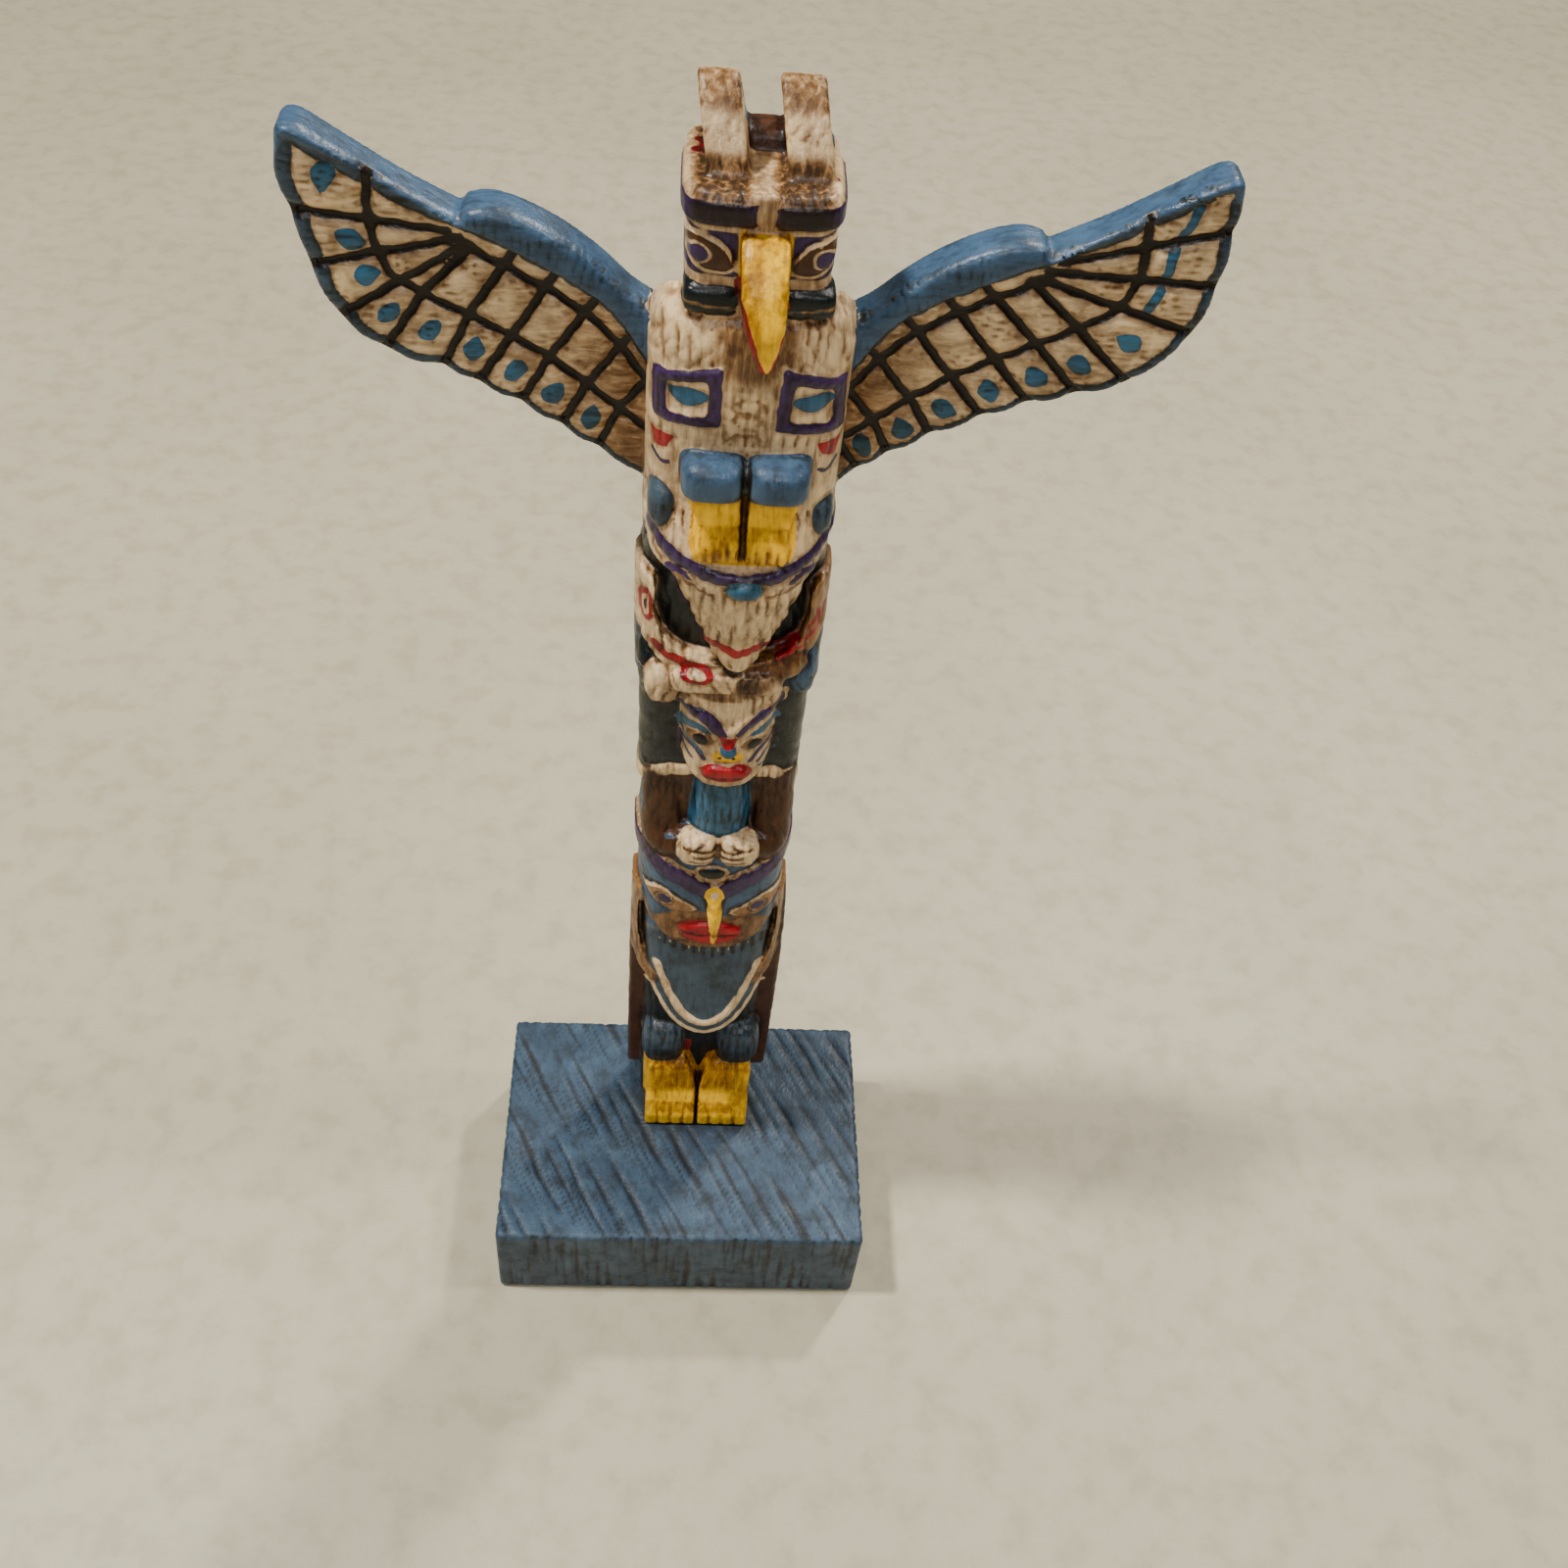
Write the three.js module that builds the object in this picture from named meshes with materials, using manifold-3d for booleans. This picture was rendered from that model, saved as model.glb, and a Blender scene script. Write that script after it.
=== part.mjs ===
// Souvenir totem pole: a carved and painted cast resin pole with spread wings on a grooved block base.
// Millimetres, +Z up. X runs to the viewer's right and Y away from the viewer.
// The origin is on the underside of the base, below the pole's axis in X and at the base's middle in Y.

import * as THREE from 'three';
import { mergeVertices } from 'three/addons/utils/BufferGeometryUtils.js';
import Module from 'manifold-3d';

const wasm = await Module();
wasm.setup();

// Driving dimensions of the base block
const baseWidth = 78;
const baseDepth = 54;
const baseHeight = 24;
const baseOffset = -2;
const rearLedge = 2.1;

// Wood-grain grooves of the base: slanted lines on its top, upright lines on its four sides
const topGroovePitch = 4;
const topGrooveWidth = 1.3;
const topGrooveAngle = THREE.MathUtils.degToRad(-62);
const sideGroovePitch = 3.3;
const sideGrooveWidth = 1.0;
const cornerMargin = 2.5;

// Driving dimensions of the pole and its wings
const poleHeight = 231.5;
const wingSpan = 125.2;
const wingThickness = 6;
const wingGrooveWidth = 1.5;
const wingGrooveDepth = 0.9;
const wingBackGrooveDepth = 0.6;
const leadingBandRaise = 0.7;

// The carving keeps its own proportions: it is drawn on a pole 231.5 units tall, foot at zero,
// with the pole's axis at x = 0, y = 0, and every number below this line is in those units.
const drawnHeight = 231.5;
const unit = poleHeight / drawnHeight;
const poleHalfWidth = 14.4;
const poleFront = 12.6;
const poleBack = 11.5;
const middle = 0.6;
const reliefRaise = 0.6;

// Solids: closed three.js geometry that can be joined and cut

function solid(geometry) {
  geometry.deleteAttribute('normal');
  geometry.deleteAttribute('uv');
  const merged = mergeVertices(geometry, 1e-4);
  return new wasm.Manifold(new wasm.Mesh({
    numProp: 3,
    vertProperties: new Float32Array(merged.attributes.position.array),
    triVerts: new Uint32Array(merged.index.array),
  }));
}

function join(solids) {
  return solids.reduce((whole, piece) => whole.add(piece));
}

function cut(whole, cutters) {
  return cutters.reduce((rest, cutter) => rest.subtract(cutter), whole);
}

// Geometry of a joined solid. Points closer than the weld distance are one, so no sliver faces are left.
const weldDistance = 0.004;

function meshGeometry(shape) {
  const mesh = shape.getMesh();
  const geometry = new THREE.BufferGeometry();
  geometry.setAttribute('position', new THREE.BufferAttribute(new Float32Array(mesh.vertProperties), 3));
  geometry.setIndex(new THREE.BufferAttribute(new Uint32Array(mesh.triVerts), 1));
  const welded = mergeVertices(geometry, weldDistance);
  const corners = Array.from(welded.index.array);
  const faces = [];
  for (let i = 0; i < corners.length; i += 3) {
    const [a, b, c] = corners.slice(i, i + 3);
    if (a !== b && b !== c && c !== a) faces.push(a, b, c);
  }
  welded.setIndex(faces);
  return welded;
}

// Signed power, which squares a circle off into a superellipse
function squared(value, power) {
  return Math.sign(value) * Math.abs(value) ** (2 / power);
}

// Upright column through levels of [z, half width, front depth, back depth], squarer with a larger power
function column(levels, { power = 3, sides = 16, x = 0 } = {}) {
  const geometry = new THREE.CylinderGeometry(1, 1, levels.length - 1, sides, levels.length - 1);
  const position = geometry.attributes.position;
  const half = (levels.length - 1) / 2;
  for (let i = 0; i < position.count; i += 1) {
    const [z, halfWidth, front, back] = levels[Math.round(position.getY(i) + half)];
    const across = squared(position.getX(i), power);
    const along = squared(-position.getZ(i), power);
    position.setXYZ(i, x + across * halfWidth, along * (along < 0 ? front : back), z);
  }
  return solid(geometry);
}

// Rounded block or egg about a centre, with half sizes, squarer with a larger power
function boulder([x, y, z], [halfX, halfY, halfZ], { power = 3, around = 10, down = 6 } = {}) {
  const geometry = new THREE.SphereGeometry(1, around, down);
  geometry.rotateX(Math.PI / 2);
  const position = geometry.attributes.position;
  for (let i = 0; i < position.count; i += 1) {
    position.setXYZ(
      i,
      x + halfX * squared(position.getX(i), power),
      y + halfY * squared(position.getY(i), power),
      z + halfZ * squared(position.getZ(i), power),
    );
  }
  return solid(geometry);
}

// Rounded limb along joints of [x, y, z, radius], with a blunt cap at each end
function limb(joints, { sides = 8, steps = joints.length * 2 } = {}) {
  const path = new THREE.CatmullRomCurve3(joints.map(([x, y, z]) => new THREE.Vector3(x, y, z)));
  const girth = new THREE.SplineCurve(joints.map((joint, i) => (
    new THREE.Vector2(i / (joints.length - 1), joint[3])
  )));
  const frames = path.computeFrenetFrames(steps, false);
  const rings = steps + 2;
  const geometry = new THREE.CylinderGeometry(1, 1, rings, sides, rings);
  const position = geometry.attributes.position;
  for (let i = 0; i < position.count; i += 1) {
    const ring = Math.round(position.getY(i) + rings / 2);
    const station = THREE.MathUtils.clamp(ring - 1, 0, steps);
    const radius = girth.getPoint(station / steps).y;
    const overrun = (ring === 0 ? -0.6 : 0) + (ring === rings ? 0.6 : 0);
    const share = overrun === 0 ? 1 : 0.6;
    const point = path.getPoint(station / steps)
      .addScaledVector(frames.tangents[station], overrun * radius)
      .addScaledVector(frames.binormals[station], position.getX(i) * radius * share)
      .addScaledVector(frames.normals[station], position.getZ(i) * radius * share);
    position.setXYZ(i, point.x, point.y, point.z);
  }
  return solid(geometry);
}

// Outlines, drawn as [across, up]

function onPlane(points) {
  return points.map(([across, up]) => new THREE.Vector2(across, up));
}

function straight(points) {
  return new THREE.Shape(onPlane(points));
}

function curveThrough(points, steps) {
  return new THREE.SplineCurve(onPlane(points)).getPoints(steps);
}

// Band of even width along a line of points, smoothed where steps are given
function band(points, width, steps = 0) {
  const line = steps > 0 ? curveThrough(points, steps) : onPlane(points);
  const left = [];
  const right = [];
  line.forEach((point, i) => {
    const ahead = line[Math.min(i + 1, line.length - 1)];
    const behind = line[Math.max(i - 1, 0)];
    const side = new THREE.Vector2(behind.y - ahead.y, ahead.x - behind.x).setLength(width / 2);
    left.push(point.clone().add(side));
    right.unshift(point.clone().sub(side));
  });
  return new THREE.Shape([...left, ...right]);
}

function ellipse(across, up, halfWidth, halfHeight, turn = 0) {
  return new THREE.Shape().absellipse(across, up, halfWidth, halfHeight, 0, 2 * Math.PI, false, turn);
}

// Four corners with a smaller opening of the same form about their centre
function frame(corners, opening) {
  const outer = onPlane(corners);
  const centre = outer.reduce((sum, point) => sum.add(point), new THREE.Vector2()).divideScalar(outer.length);
  const inner = onPlane(corners).map((point) => point.sub(centre).multiplyScalar(opening).add(centre));
  const shape = new THREE.Shape(onPlane(corners));
  shape.holes.push(new THREE.Path(inner.reverse()));
  return shape;
}

function thick(shape, depth) {
  return new THREE.ExtrudeGeometry(shape, { depth, bevelEnabled: false, curveSegments: 3 });
}

// Outline in X and Z, carried from front to back
function slab(shape, front, back) {
  const geometry = thick(shape, back - front);
  geometry.rotateX(Math.PI / 2);
  geometry.translate(0, back, 0);
  return solid(geometry);
}

// Outline in Y and Z, carried from left to right
function profile(shape, left, right) {
  const geometry = thick(shape, right - left);
  const sideways = new THREE.Matrix4().makeBasis(
    new THREE.Vector3(0, 1, 0),
    new THREE.Vector3(0, 0, 1),
    new THREE.Vector3(1, 0, 0),
  );
  geometry.applyMatrix4(sideways);
  geometry.translate(left, 0, 0);
  return solid(geometry);
}

// Raised ornament: the outline's share of the front of a column that is swelled by the raise
const ornamentBack = 1.3;

function relief(shape, levels, options = {}) {
  const { raise = reliefRaise, ...rest } = options;
  const swelled = levels.map(([z, halfWidth, front, back]) => [z, halfWidth + raise, front + raise, back]);
  return slab(shape, -30, ornamentBack).intersect(column(swelled, rest));
}

// The same form at the viewer's left and right of the carving's middle
function pair(build) {
  return [-1, 1].map((side) => build(side));
}

// Trunk: the round log behind every figure, left plain at the back

const trunkLevels = [
  [0, 11.9, 7, poleBack], [40, 12.3, 7.6, poleBack], [72, 12.9, 9, poleBack], [112, 13.1, 7.7, poleBack],
  [140, 13.7, 8.4, poleBack], [198, 13.9, 9, poleBack], [203.6, 12.8, 8.4, 10.6],
];

// How far the figures reach round the sides of the trunk
const sideDepth = 7.6;

// Bottom figure: standing bird with feet, knees, folded wings, bib and masked face

const birdFaceLevels = [[64, 13.5, 12.4, sideDepth], [99, 13.7, 12.6, sideDepth]];

function feet() {
  const footAndShin = profile(straight([
    [-13, 0], [-13, 4.6], [-11.9, 6.4], [-10.6, 7.4], [-10.4, 19.6], [-9.4, 21.4], [-4, 21.4], [-4, 0],
  ]), -14, 14);
  return pair((side) => {
    const front = [[0.3, 0], [11.2, 0], [11.2, 21.4], [2.8, 21.4], [0.3, 12.4]];
    return slab(straight(front.map(([x, z]) => [middle + side * x, z])), -14, -3).intersect(footAndShin);
  });
}

function knees() {
  return pair((side) => boulder([side * 7.9 + middle, -5.8, 25.6], [4.6, 4.2, 6.6]));
}

function foldedWings() {
  const wing = new THREE.Shape(curveThrough([
    [-4.6, 60], [-3.6, 69], [0.2, 72.4], [4.4, 69.4], [5.8, 58], [5.2, 38], [3.2, 19], [0.8, 7.6],
    [-1.8, 9.6], [-3.4, 28], [-4.6, 46], [-4.6, 60],
  ], 13).slice(0, -1));
  return pair((side) => {
    const [inner, outer] = [side * 10, side * 15.3 + 0.3];
    return profile(wing, Math.min(inner, outer), Math.max(inner, outer));
  });
}

// The tongue-shaped bib bellies out towards its tip, with a raised inner line
function bib() {
  const bulge = [[34, 12.9, 14, 3], [42, 13.2, 13.4, 3], [56, 13.4, 11.6, 3], [72, 13.5, 9.6, 3]];
  const tongue = new THREE.Shape(curveThrough([
    [-13.6, 72], [-12.6, 56], [-9.6, 48], [-5.2, 41], [middle, 37.8],
    [6.4, 41], [10.8, 48], [13.8, 56], [14.8, 72],
  ], 14));
  const innerLine = [
    [-9.4, 58], [-6.6, 50.6], [-3.5, 44.6], [middle, 42], [4.7, 44.6], [7.8, 50.6], [10.6, 58],
  ];
  const whole = slab(tongue, -20, 0).intersect(column(bulge));
  return whole.add(relief(band(innerLine, 1.4, 8), bulge));
}

function wingEdges() {
  const edge = [[13.9, 77], [14.8, 70], [14.2, 62], [12.8, 56], [10.2, 53]];
  const levels = [[45, 14.2, 10.6, 5], [80, 14.2, 10.6, 5]];
  return pair((side) => relief(band(edge.map(([x, z]) => [side * x, z]), 2.8), levels));
}

function birdFace() {
  const shield = straight([
    [-14.4, 99], [-14.4, 79], [-12.6, 73.4], [-8.8, 69], [-4.2, 66.6], [middle, 65.8],
    [5.4, 66.6], [10, 69], [13.8, 73.4], [14.4, 79], [14.4, 99],
  ]);
  const face = slab(shield, -20, 0).intersect(column(birdFaceLevels));
  const headBehind = column([[60, 13.4, 9.8, sideDepth], [99.4, 13.6, 10.2, sideDepth]]);
  const brow = [
    [-13.6, 93.4], [-9.4, 90.6], [-4.4, 87.6], [middle, 84.6], [5.6, 87.6], [10.6, 90.6], [14.4, 93],
  ];
  const eyes = pair((side) => relief(
    ellipse(side * 8.1 + middle, 81.6, 4.6, 2.2, side * -0.36),
    birdFaceLevels,
    { raise: 0.5 },
  ));
  return join([
    face,
    headBehind,
    relief(band(brow, 4, 4), birdFaceLevels, { raise: 0.9 }),
    relief(ellipse(middle, 71.8, 5.9, 2.9), birdFaceLevels, { raise: 0.8 }),
    limb([[middle, -11.8, 86.6, 2.3], [0.9, -14.8, 81, 1.8], [1, -15.6, 74.6, 0.9]], { sides: 6, steps: 4 }),
    boulder([-0.1, -11.6, 90.4], [2.6, 2, 2]),
    ...eyes,
  ]);
}

// Human figure with a cape, bent arms and clasped fists

const faceLevels = [[111, 8.5, 13.6, 4], [137.5, 8.7, 13.6, 4]];

function humanArms() {
  const arms = pair((side) => limb([
    [side * 9.8 + 0.2, -4.4, 110.4, 3.7],
    [side * 9.8 + 0.2, -6.2, 101, 3.8],
    [side * 9.1 + 0.2, -8.3, 95.6, 3.7],
    [side * 5.4 + middle, -10.4, 96.4, 3.1],
  ]));
  const fists = pair((side) => boulder([side * 3.6 + middle, -11.6, 96.6], [3.7, 3.2, 3.3], { power: 3.2 }));
  return [...arms, ...fists];
}

function humanTorso() {
  return column([[94, 6.4, 11.6, 4], [104.5, 5.8, 11.9, 4], [114.6, 4.7, 11.2, 4]], { x: middle });
}

function humanFace() {
  const jaw = straight([
    [-8.2, 137], [-8.4, 124.6], [-8, 119.8], [-6.2, 116.2], [-3.2, 114.2], [middle, 113.4],
    [4.4, 114.2], [7.4, 116.2], [9.2, 119.8], [9.6, 124.6], [9.4, 137],
  ]);
  const options = { x: middle };
  const face = slab(jaw, -20, 0).intersect(column(faceLevels, options));
  const brows = pair((side) => relief(
    band([[side + middle, 128], [side * 3.6 + middle, 131.2], [side * 7.8 + middle, 133]], 2.2, 3),
    faceLevels,
    { ...options, raise: 0.8 },
  ));
  const eyes = pair((side) => relief(
    ellipse(side * 4.6 + middle, 126, 2.6, 1.4, side * -0.2),
    faceLevels,
    { ...options, raise: 0.4 },
  ));
  return join([
    face,
    ...brows,
    ...eyes,
    relief(ellipse(middle + 0.1, 118.6, 3.8, 1.9), faceLevels, { ...options, raise: 1 }),
    limb([[middle + 0.3, -12.9, 129, 1], [middle + 0.4, -13.8, 124.8, 1.9]]),
  ]);
}

// The cape hangs lower at its sides than in front, with a thick hem
function humanCape() {
  const hem = [
    [-15.5, 104.6], [-13.5, 107.4], [-11.4, 109.8], [-8.3, 111.6],
    [middle, 112.4], [9.4, 111.6], [11.6, 109.4], [13.6, 106.4], [15.5, 103.4],
  ];
  const hemRise = 2.6;
  const raised = [...hem].reverse().map(([x, z]) => [x, z + hemRise]);
  const cloth = slab(straight([...hem, [15.5, 137], [-15.5, 137]]), -14, 14);
  const border = slab(straight([...hem, ...raised]), -14, 14);
  return join([
    cloth.intersect(column([[100, 14.1, 8.5, sideDepth], [137, 14.4, 8.9, sideDepth]])),
    border.intersect(column([[100, 14.5, 9, sideDepth], [118, 14.5, 9, sideDepth]])),
  ]);
}

// Muzzled creature: paws on a bar, curved fins, and a head that juts out like a prow

function pawsAndBar() {
  const bar = boulder([-0.2, -9.6, 138.6], [9.4, 4.2, 2.5], { power: 5 });
  const leftPaw = boulder([-10.2, -8.2, 135.8], [3.3, 4.2, 4.5], { power: 2.6 });
  const rightPaw = limb([[3.2, -11.2, 138.2, 2.6], [9.6, -8.6, 141, 3.2]]);
  const cuffs = pair((side) => boulder([side * 12.3, -5.4, 137], [2.7, 3.8, 5.4], { power: 2.4 }));
  return [bar, leftPaw, rightPaw, ...cuffs];
}

function creatureBody() {
  const body = column([[134, 14.2, 8.6, sideDepth], [168, 14.3, 9.4, sideDepth]]);
  const finLevels = [[130, 14.6, 11.6, 5], [160, 14.8, 11.6, 5]];
  const finLine = [[14, 155], [13.9, 148.6], [11.4, 143.8], [7.4, 141.2], [2, 140]];
  const fins = pair((side) => relief(band(finLine.map(([x, z]) => [side * x, z]), 4.4, 6), finLevels));
  const sidePlates = pair((side) => boulder([side * 12.6, 0, 145], [2.7, 6.4, 13], { power: 4 }));
  return [body, ...fins, ...sidePlates];
}

// The muzzle is an ellipse that narrows and leans back on its way down from a sagging rim to the chin
function muzzle() {
  const [chin, rim, sag] = [141.8, 168, 3.6];
  const rows = 5;
  const geometry = new THREE.CylinderGeometry(1, 1, 1, 24, rows);
  const position = geometry.attributes.position;
  const between = THREE.MathUtils.lerp;
  for (let i = 0; i < position.count; i += 1) {
    const rise = position.getY(i) + 0.5;
    const across = position.getX(i);
    const along = -position.getZ(i);
    const x = between(1.2, middle, rise) + across * between(0.9, 14.2, rise ** 0.7);
    const y = between(-12.4, -3, rise) + along * between(1.3, 14.4, rise);
    const z = between(chin, rim, rise) - sag * rise * Math.max(0, -along) ** 2;
    position.setXYZ(i, x, y, z);
  }
  const forehead = column([[162, 13.6, 15.8, 4], [166.4, 14, 15.6, 4], [173, 14, 12.8, 4]]);
  const nose = boulder([1.2, -16.4, 162.2], [2.7, 1.8, 1.7], { power: 2.6 });
  return [solid(geometry), forehead, nose];
}

// Thunderbird: legs, chest with squared eyes, head with beak and horns

const chestLevels = [[165, 14.2, 12.4, sideDepth], [198, poleHalfWidth, poleFront, sideDepth]];
const headLevels = [[188, 9.3, 9.8, 5.2], [203, 9.5, 10.4, 5.6], [209, 9.8, 11, 6], [221.4, 9.9, 11.9, 6.4]];

function thunderbirdLegs() {
  const thighs = pair((side) => boulder([side * 4.6 + 0.2, -11.9, 180.2], [4.6, 5.2, 3.3], { power: 4.4 }));
  const shins = pair((side) => {
    const front = straight([
      [0.35, 180], [8.6, 180], [7.6, 176], [6.6, 172.6], [6.9, 168.4], [6.2, 166.4], [0.35, 166.4],
    ].map(([x, z]) => [side * x + 0.4, z]));
    const sideView = straight([
      [-8, 180], [-15.6, 180], [-15, 176], [-15.2, 173],
      [-17, 171.2], [-17.3, 168.2], [-16.4, 166.4], [-8, 166.4],
    ]);
    return slab(front, -20, -8).intersect(profile(sideView, -12, 12));
  });
  const pads = pair((side) => boulder([side * 11.3, -8, 171.8], [2.4, 3.8, 4.4], { power: 2.4 }));
  return [...thighs, ...shins, ...pads];
}

function thunderbirdChest() {
  const chest = column([
    ...chestLevels,
    [202.4, 13.7, 11.9, sideDepth],
    [205.2, 12, 10, sideDepth - 1],
  ]);
  const eyeFrames = [
    [[-13.4, 193.2], [-3.9, 196.8], [-3.7, 187.8], [-13.2, 185.4]],
    [[4.3, 196.8], [13.3, 193.6], [13.9, 184.2], [3.9, 187.2]],
  ].map((corners) => relief(frame(corners, 0.6), chestLevels));
  return [chest, ...eyeFrames];
}

function thunderbirdHead() {
  const head = column(headLevels, { power: 6 });
  const options = { power: 6 };
  const brows = pair((side) => relief(
    straight([[side * 1.4 + 0.3, 217], [side * 11, 217], [side * 11, 220.5], [side * 1.4 + 0.3, 220.5]]),
    headLevels,
    options,
  ));
  const eyes = pair((side) => relief(
    ellipse(side * 6.5 + 0.3, 212.9, 3.1, 2, side * 0.3),
    headLevels,
    { ...options, raise: 0.4 },
  ));
  const jaws = pair((side) => boulder([side * 6.4 + 0.3, -8.6, 206.2], [3.6, 3, 2.1], { power: 5 }));
  return [head, ...brows, ...eyes, ...jaws];
}

function thunderbirdBeak() {
  const sideView = new THREE.Shape([
    ...curveThrough([[-11, 216.6], [-14.6, 214.8], [-17.6, 211.4], [-19.4, 206.6], [-19.2, 201.2]], 8),
    ...curveThrough([[-18, 201.8], [-16, 205], [-11, 208]], 4),
    new THREE.Vector2(-6, 208),
    new THREE.Vector2(-6, 216.6),
  ]);
  const front = straight([
    [-2.7, 217], [-2.5, 210], [-1.4, 205.6], [0.7, 200.8], [2.1, 200.8], [3.4, 206], [3.7, 210], [3.6, 217],
  ]);
  return profile(sideView, -6, 6).intersect(slab(front, -24, -4));
}

function thunderbirdHorns() {
  const sideView = new THREE.Shape(curveThrough([
    [-8.2, 219], [-6.8, 224], [-4.2, 229], [-0.8, 231.5], [2.4, 229.8], [5, 225], [6, 219],
  ], 12));
  const lean = -2.4;
  const horns = [[-6.8, 5.3], [3.4, 5.8]].map(([left, width]) => {
    const front = straight([[left, 219], [left + width, 219], [left + width + lean, 232], [left + lean, 232]]);
    return slab(front, -12, 10).intersect(profile(sideView, -12, 12));
  });
  const saddle = boulder([0, 2.8, 220.4], [5.4, 3.2, 3.4], { power: 4 });
  return [...horns, saddle];
}

// Spread wings, drawn at the viewer's right and mirrored. Their reach follows the wing span.

const wingRoot = 13;
const drawnReach = 62.6;
const wingStretch = (wingSpan / unit / 2 - wingRoot) / (drawnReach - wingRoot);
const halfWing = wingThickness / unit / 2;

const leadingEdge = [
  [13, 198.6], [16.6, 201], [20.6, 204.8], [25.4, 208.4], [30.4, 211], [34.6, 212.2], [37.8, 211.8],
];
const outerLeadingEdge = [[39, 210.6], [46.8, 214.8], [54, 219.4], [59.4, 222.8], [61.6, 222.2], [62.2, 219.4]];
const bandLine = [
  [13, 189.6], [15.6, 192.8], [19.2, 198.4], [24.2, 202.2], [29.8, 205.2], [34.4, 207.6], [38.8, 209.6],
];
const outerBandLine = [[37.6, 208.6], [45.8, 213.8], [53, 218.2], [60.2, 221.6]];
const firstRow = [[13.6, 186.4], [16.7, 191.4], [20.6, 196], [25.6, 199.8], [31, 202.8], [37.2, 206]];
const secondRow = [
  [13, 178.4], [18.4, 183], [23.2, 187], [28.5, 191], [34.2, 194.2], [39.6, 197], [44.8, 199.8],
  [49.6, 203], [51.6, 207.8], [51.2, 213], [50.4, 217.4],
];

// Feather grooves, each from the leading band or the wrist to its notch in the trailing edge
const featherGrooves = [
  [[40.6, 209.6], [61.9, 215.6]],
  [[39, 208.1], [62, 207.6]],
  [[38, 207], [60.6, 200.2]],
  [[37, 206.6], [44.8, 199.8], [53.4, 191.8]],
  [[30.4, 206], [39.6, 197], [46.6, 189.6]],
  [[25.8, 203.6], [34.2, 194.2], [39.9, 187.6]],
  [[20.8, 200], [28.5, 191], [33.8, 184.9]],
  [[16.8, 194.4], [23.2, 187], [26.9, 181.3]],
  [[14.4, 187.8], [18.4, 183], [21.2, 177.5]],
  [[13.2, 180], [17, 174.4]],
];

// The viewer's left wing has one feather fewer
const leftFeatherGrooves = [
  [[40.6, 208.8], [61.8, 212.2]],
  [[39, 207.6], [61.4, 205.6]],
  [[38, 206.8], [58, 197.8]],
  [[37.4, 206.4], [44.8, 200.4], [51.6, 192.2]],
  [[32, 206], [37.6, 197.6], [42.8, 188.8]],
  [[26.6, 203.2], [32.6, 193.6], [37.6, 185.9]],
  [[21.4, 199.6], [27.4, 190.8], [31.8, 183]],
  [[17, 194], [22.4, 186.6], [26.2, 179.4]],
  [[14.4, 187.4], [18, 182.6], [21, 175.8]],
];

function wingOutline(feathers) {
  const shape = new THREE.Shape(curveThrough(leadingEdge, 8));
  curveThrough(outerLeadingEdge, 8).forEach((point) => shape.lineTo(point.x, point.y));
  const notches = feathers.map((line) => line[line.length - 1]);
  const tips = [...notches, [wingRoot - 1, 170.6]];
  let [fromX, fromZ] = outerLeadingEdge[outerLeadingEdge.length - 1];
  const scallop = 0.16;
  tips.forEach(([toX, toZ]) => {
    const bulgeX = (fromX + toX) / 2 + (fromZ - toZ) * scallop;
    const bulgeZ = (fromZ + toZ) / 2 - (fromX - toX) * scallop;
    shape.quadraticCurveTo(bulgeX, bulgeZ, toX, toZ);
    [fromX, fromZ] = [toX, toZ];
  });
  return shape;
}

// Line carried on past its last point, so that a groove runs out through the edge
function overrun(line, distance = 1.4) {
  const [[fromX, fromZ], [toX, toZ]] = line.slice(-2);
  const share = 1 + distance / Math.hypot(toX - fromX, toZ - fromZ);
  return [...line.slice(0, -1), [fromX + (toX - fromX) * share, fromZ + (toZ - fromZ) * share]];
}

// The viewer's left wing droops and is drawn in, most of all below its tip
const wrist = 38.5;
const tipTop = 219.4;
const tipFall = 12;
const tipShare = 0.4;
const wings = [
  { side: -1, droop: 3.1, draw: 3.1, feathers: leftFeatherGrooves },
  { side: 1, droop: 0, draw: 0, feathers: featherGrooves },
];

function spread(shape, { side, droop, draw }) {
  return straight(shape.extractPoints(2).shape.map((point) => {
    const outward = Math.max(0, point.x - wrist) / (drawnReach - wrist);
    const share = outward * THREE.MathUtils.clamp((tipTop - point.y) / tipFall, tipShare, 1);
    const x = wingRoot + (point.x - share * draw - wingRoot) * wingStretch;
    return [side * x, point.y - share * droop];
  }));
}

function wing(pose) {
  const front = -halfWing;
  const raised = front - leadingBandRaise;
  const { feathers } = pose;
  const plate = slab(spread(wingOutline(feathers), pose), front, halfWing);
  const leading = new THREE.Shape([
    ...curveThrough(leadingEdge, 8),
    ...curveThrough([...bandLine].reverse(), 7),
  ]);
  const outerLeading = new THREE.Shape([
    ...curveThrough(outerLeadingEdge.slice(0, 5), 7),
    ...curveThrough([...outerBandLine].reverse(), 3),
  ]);
  const rails = [leading, outerLeading].map((shape) => slab(spread(shape, pose), raised, halfWing));
  const width = wingGrooveWidth / unit;
  const frontGrooves = [firstRow, secondRow, ...feathers].map((line) => (
    slab(spread(band(overrun(line), width), pose), raised - 2, front + wingGrooveDepth)
  ));
  const backGrooves = feathers.slice(0, 8).map((line) => {
    const groove = spread(band(overrun([line[0], line[line.length - 1]]), width), pose);
    return slab(groove, halfWing - wingBackGrooveDepth, halfWing + 2);
  });
  return join([cut(plate, [...frontGrooves, ...backGrooves]), ...rails]);
}

// The shoulders fall away to the back, behind the head
function shoulderSlope() {
  return profile(straight([[-5.2, 206], [12.5, 184.6], [12.5, 206]]), -20, 20);
}

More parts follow.
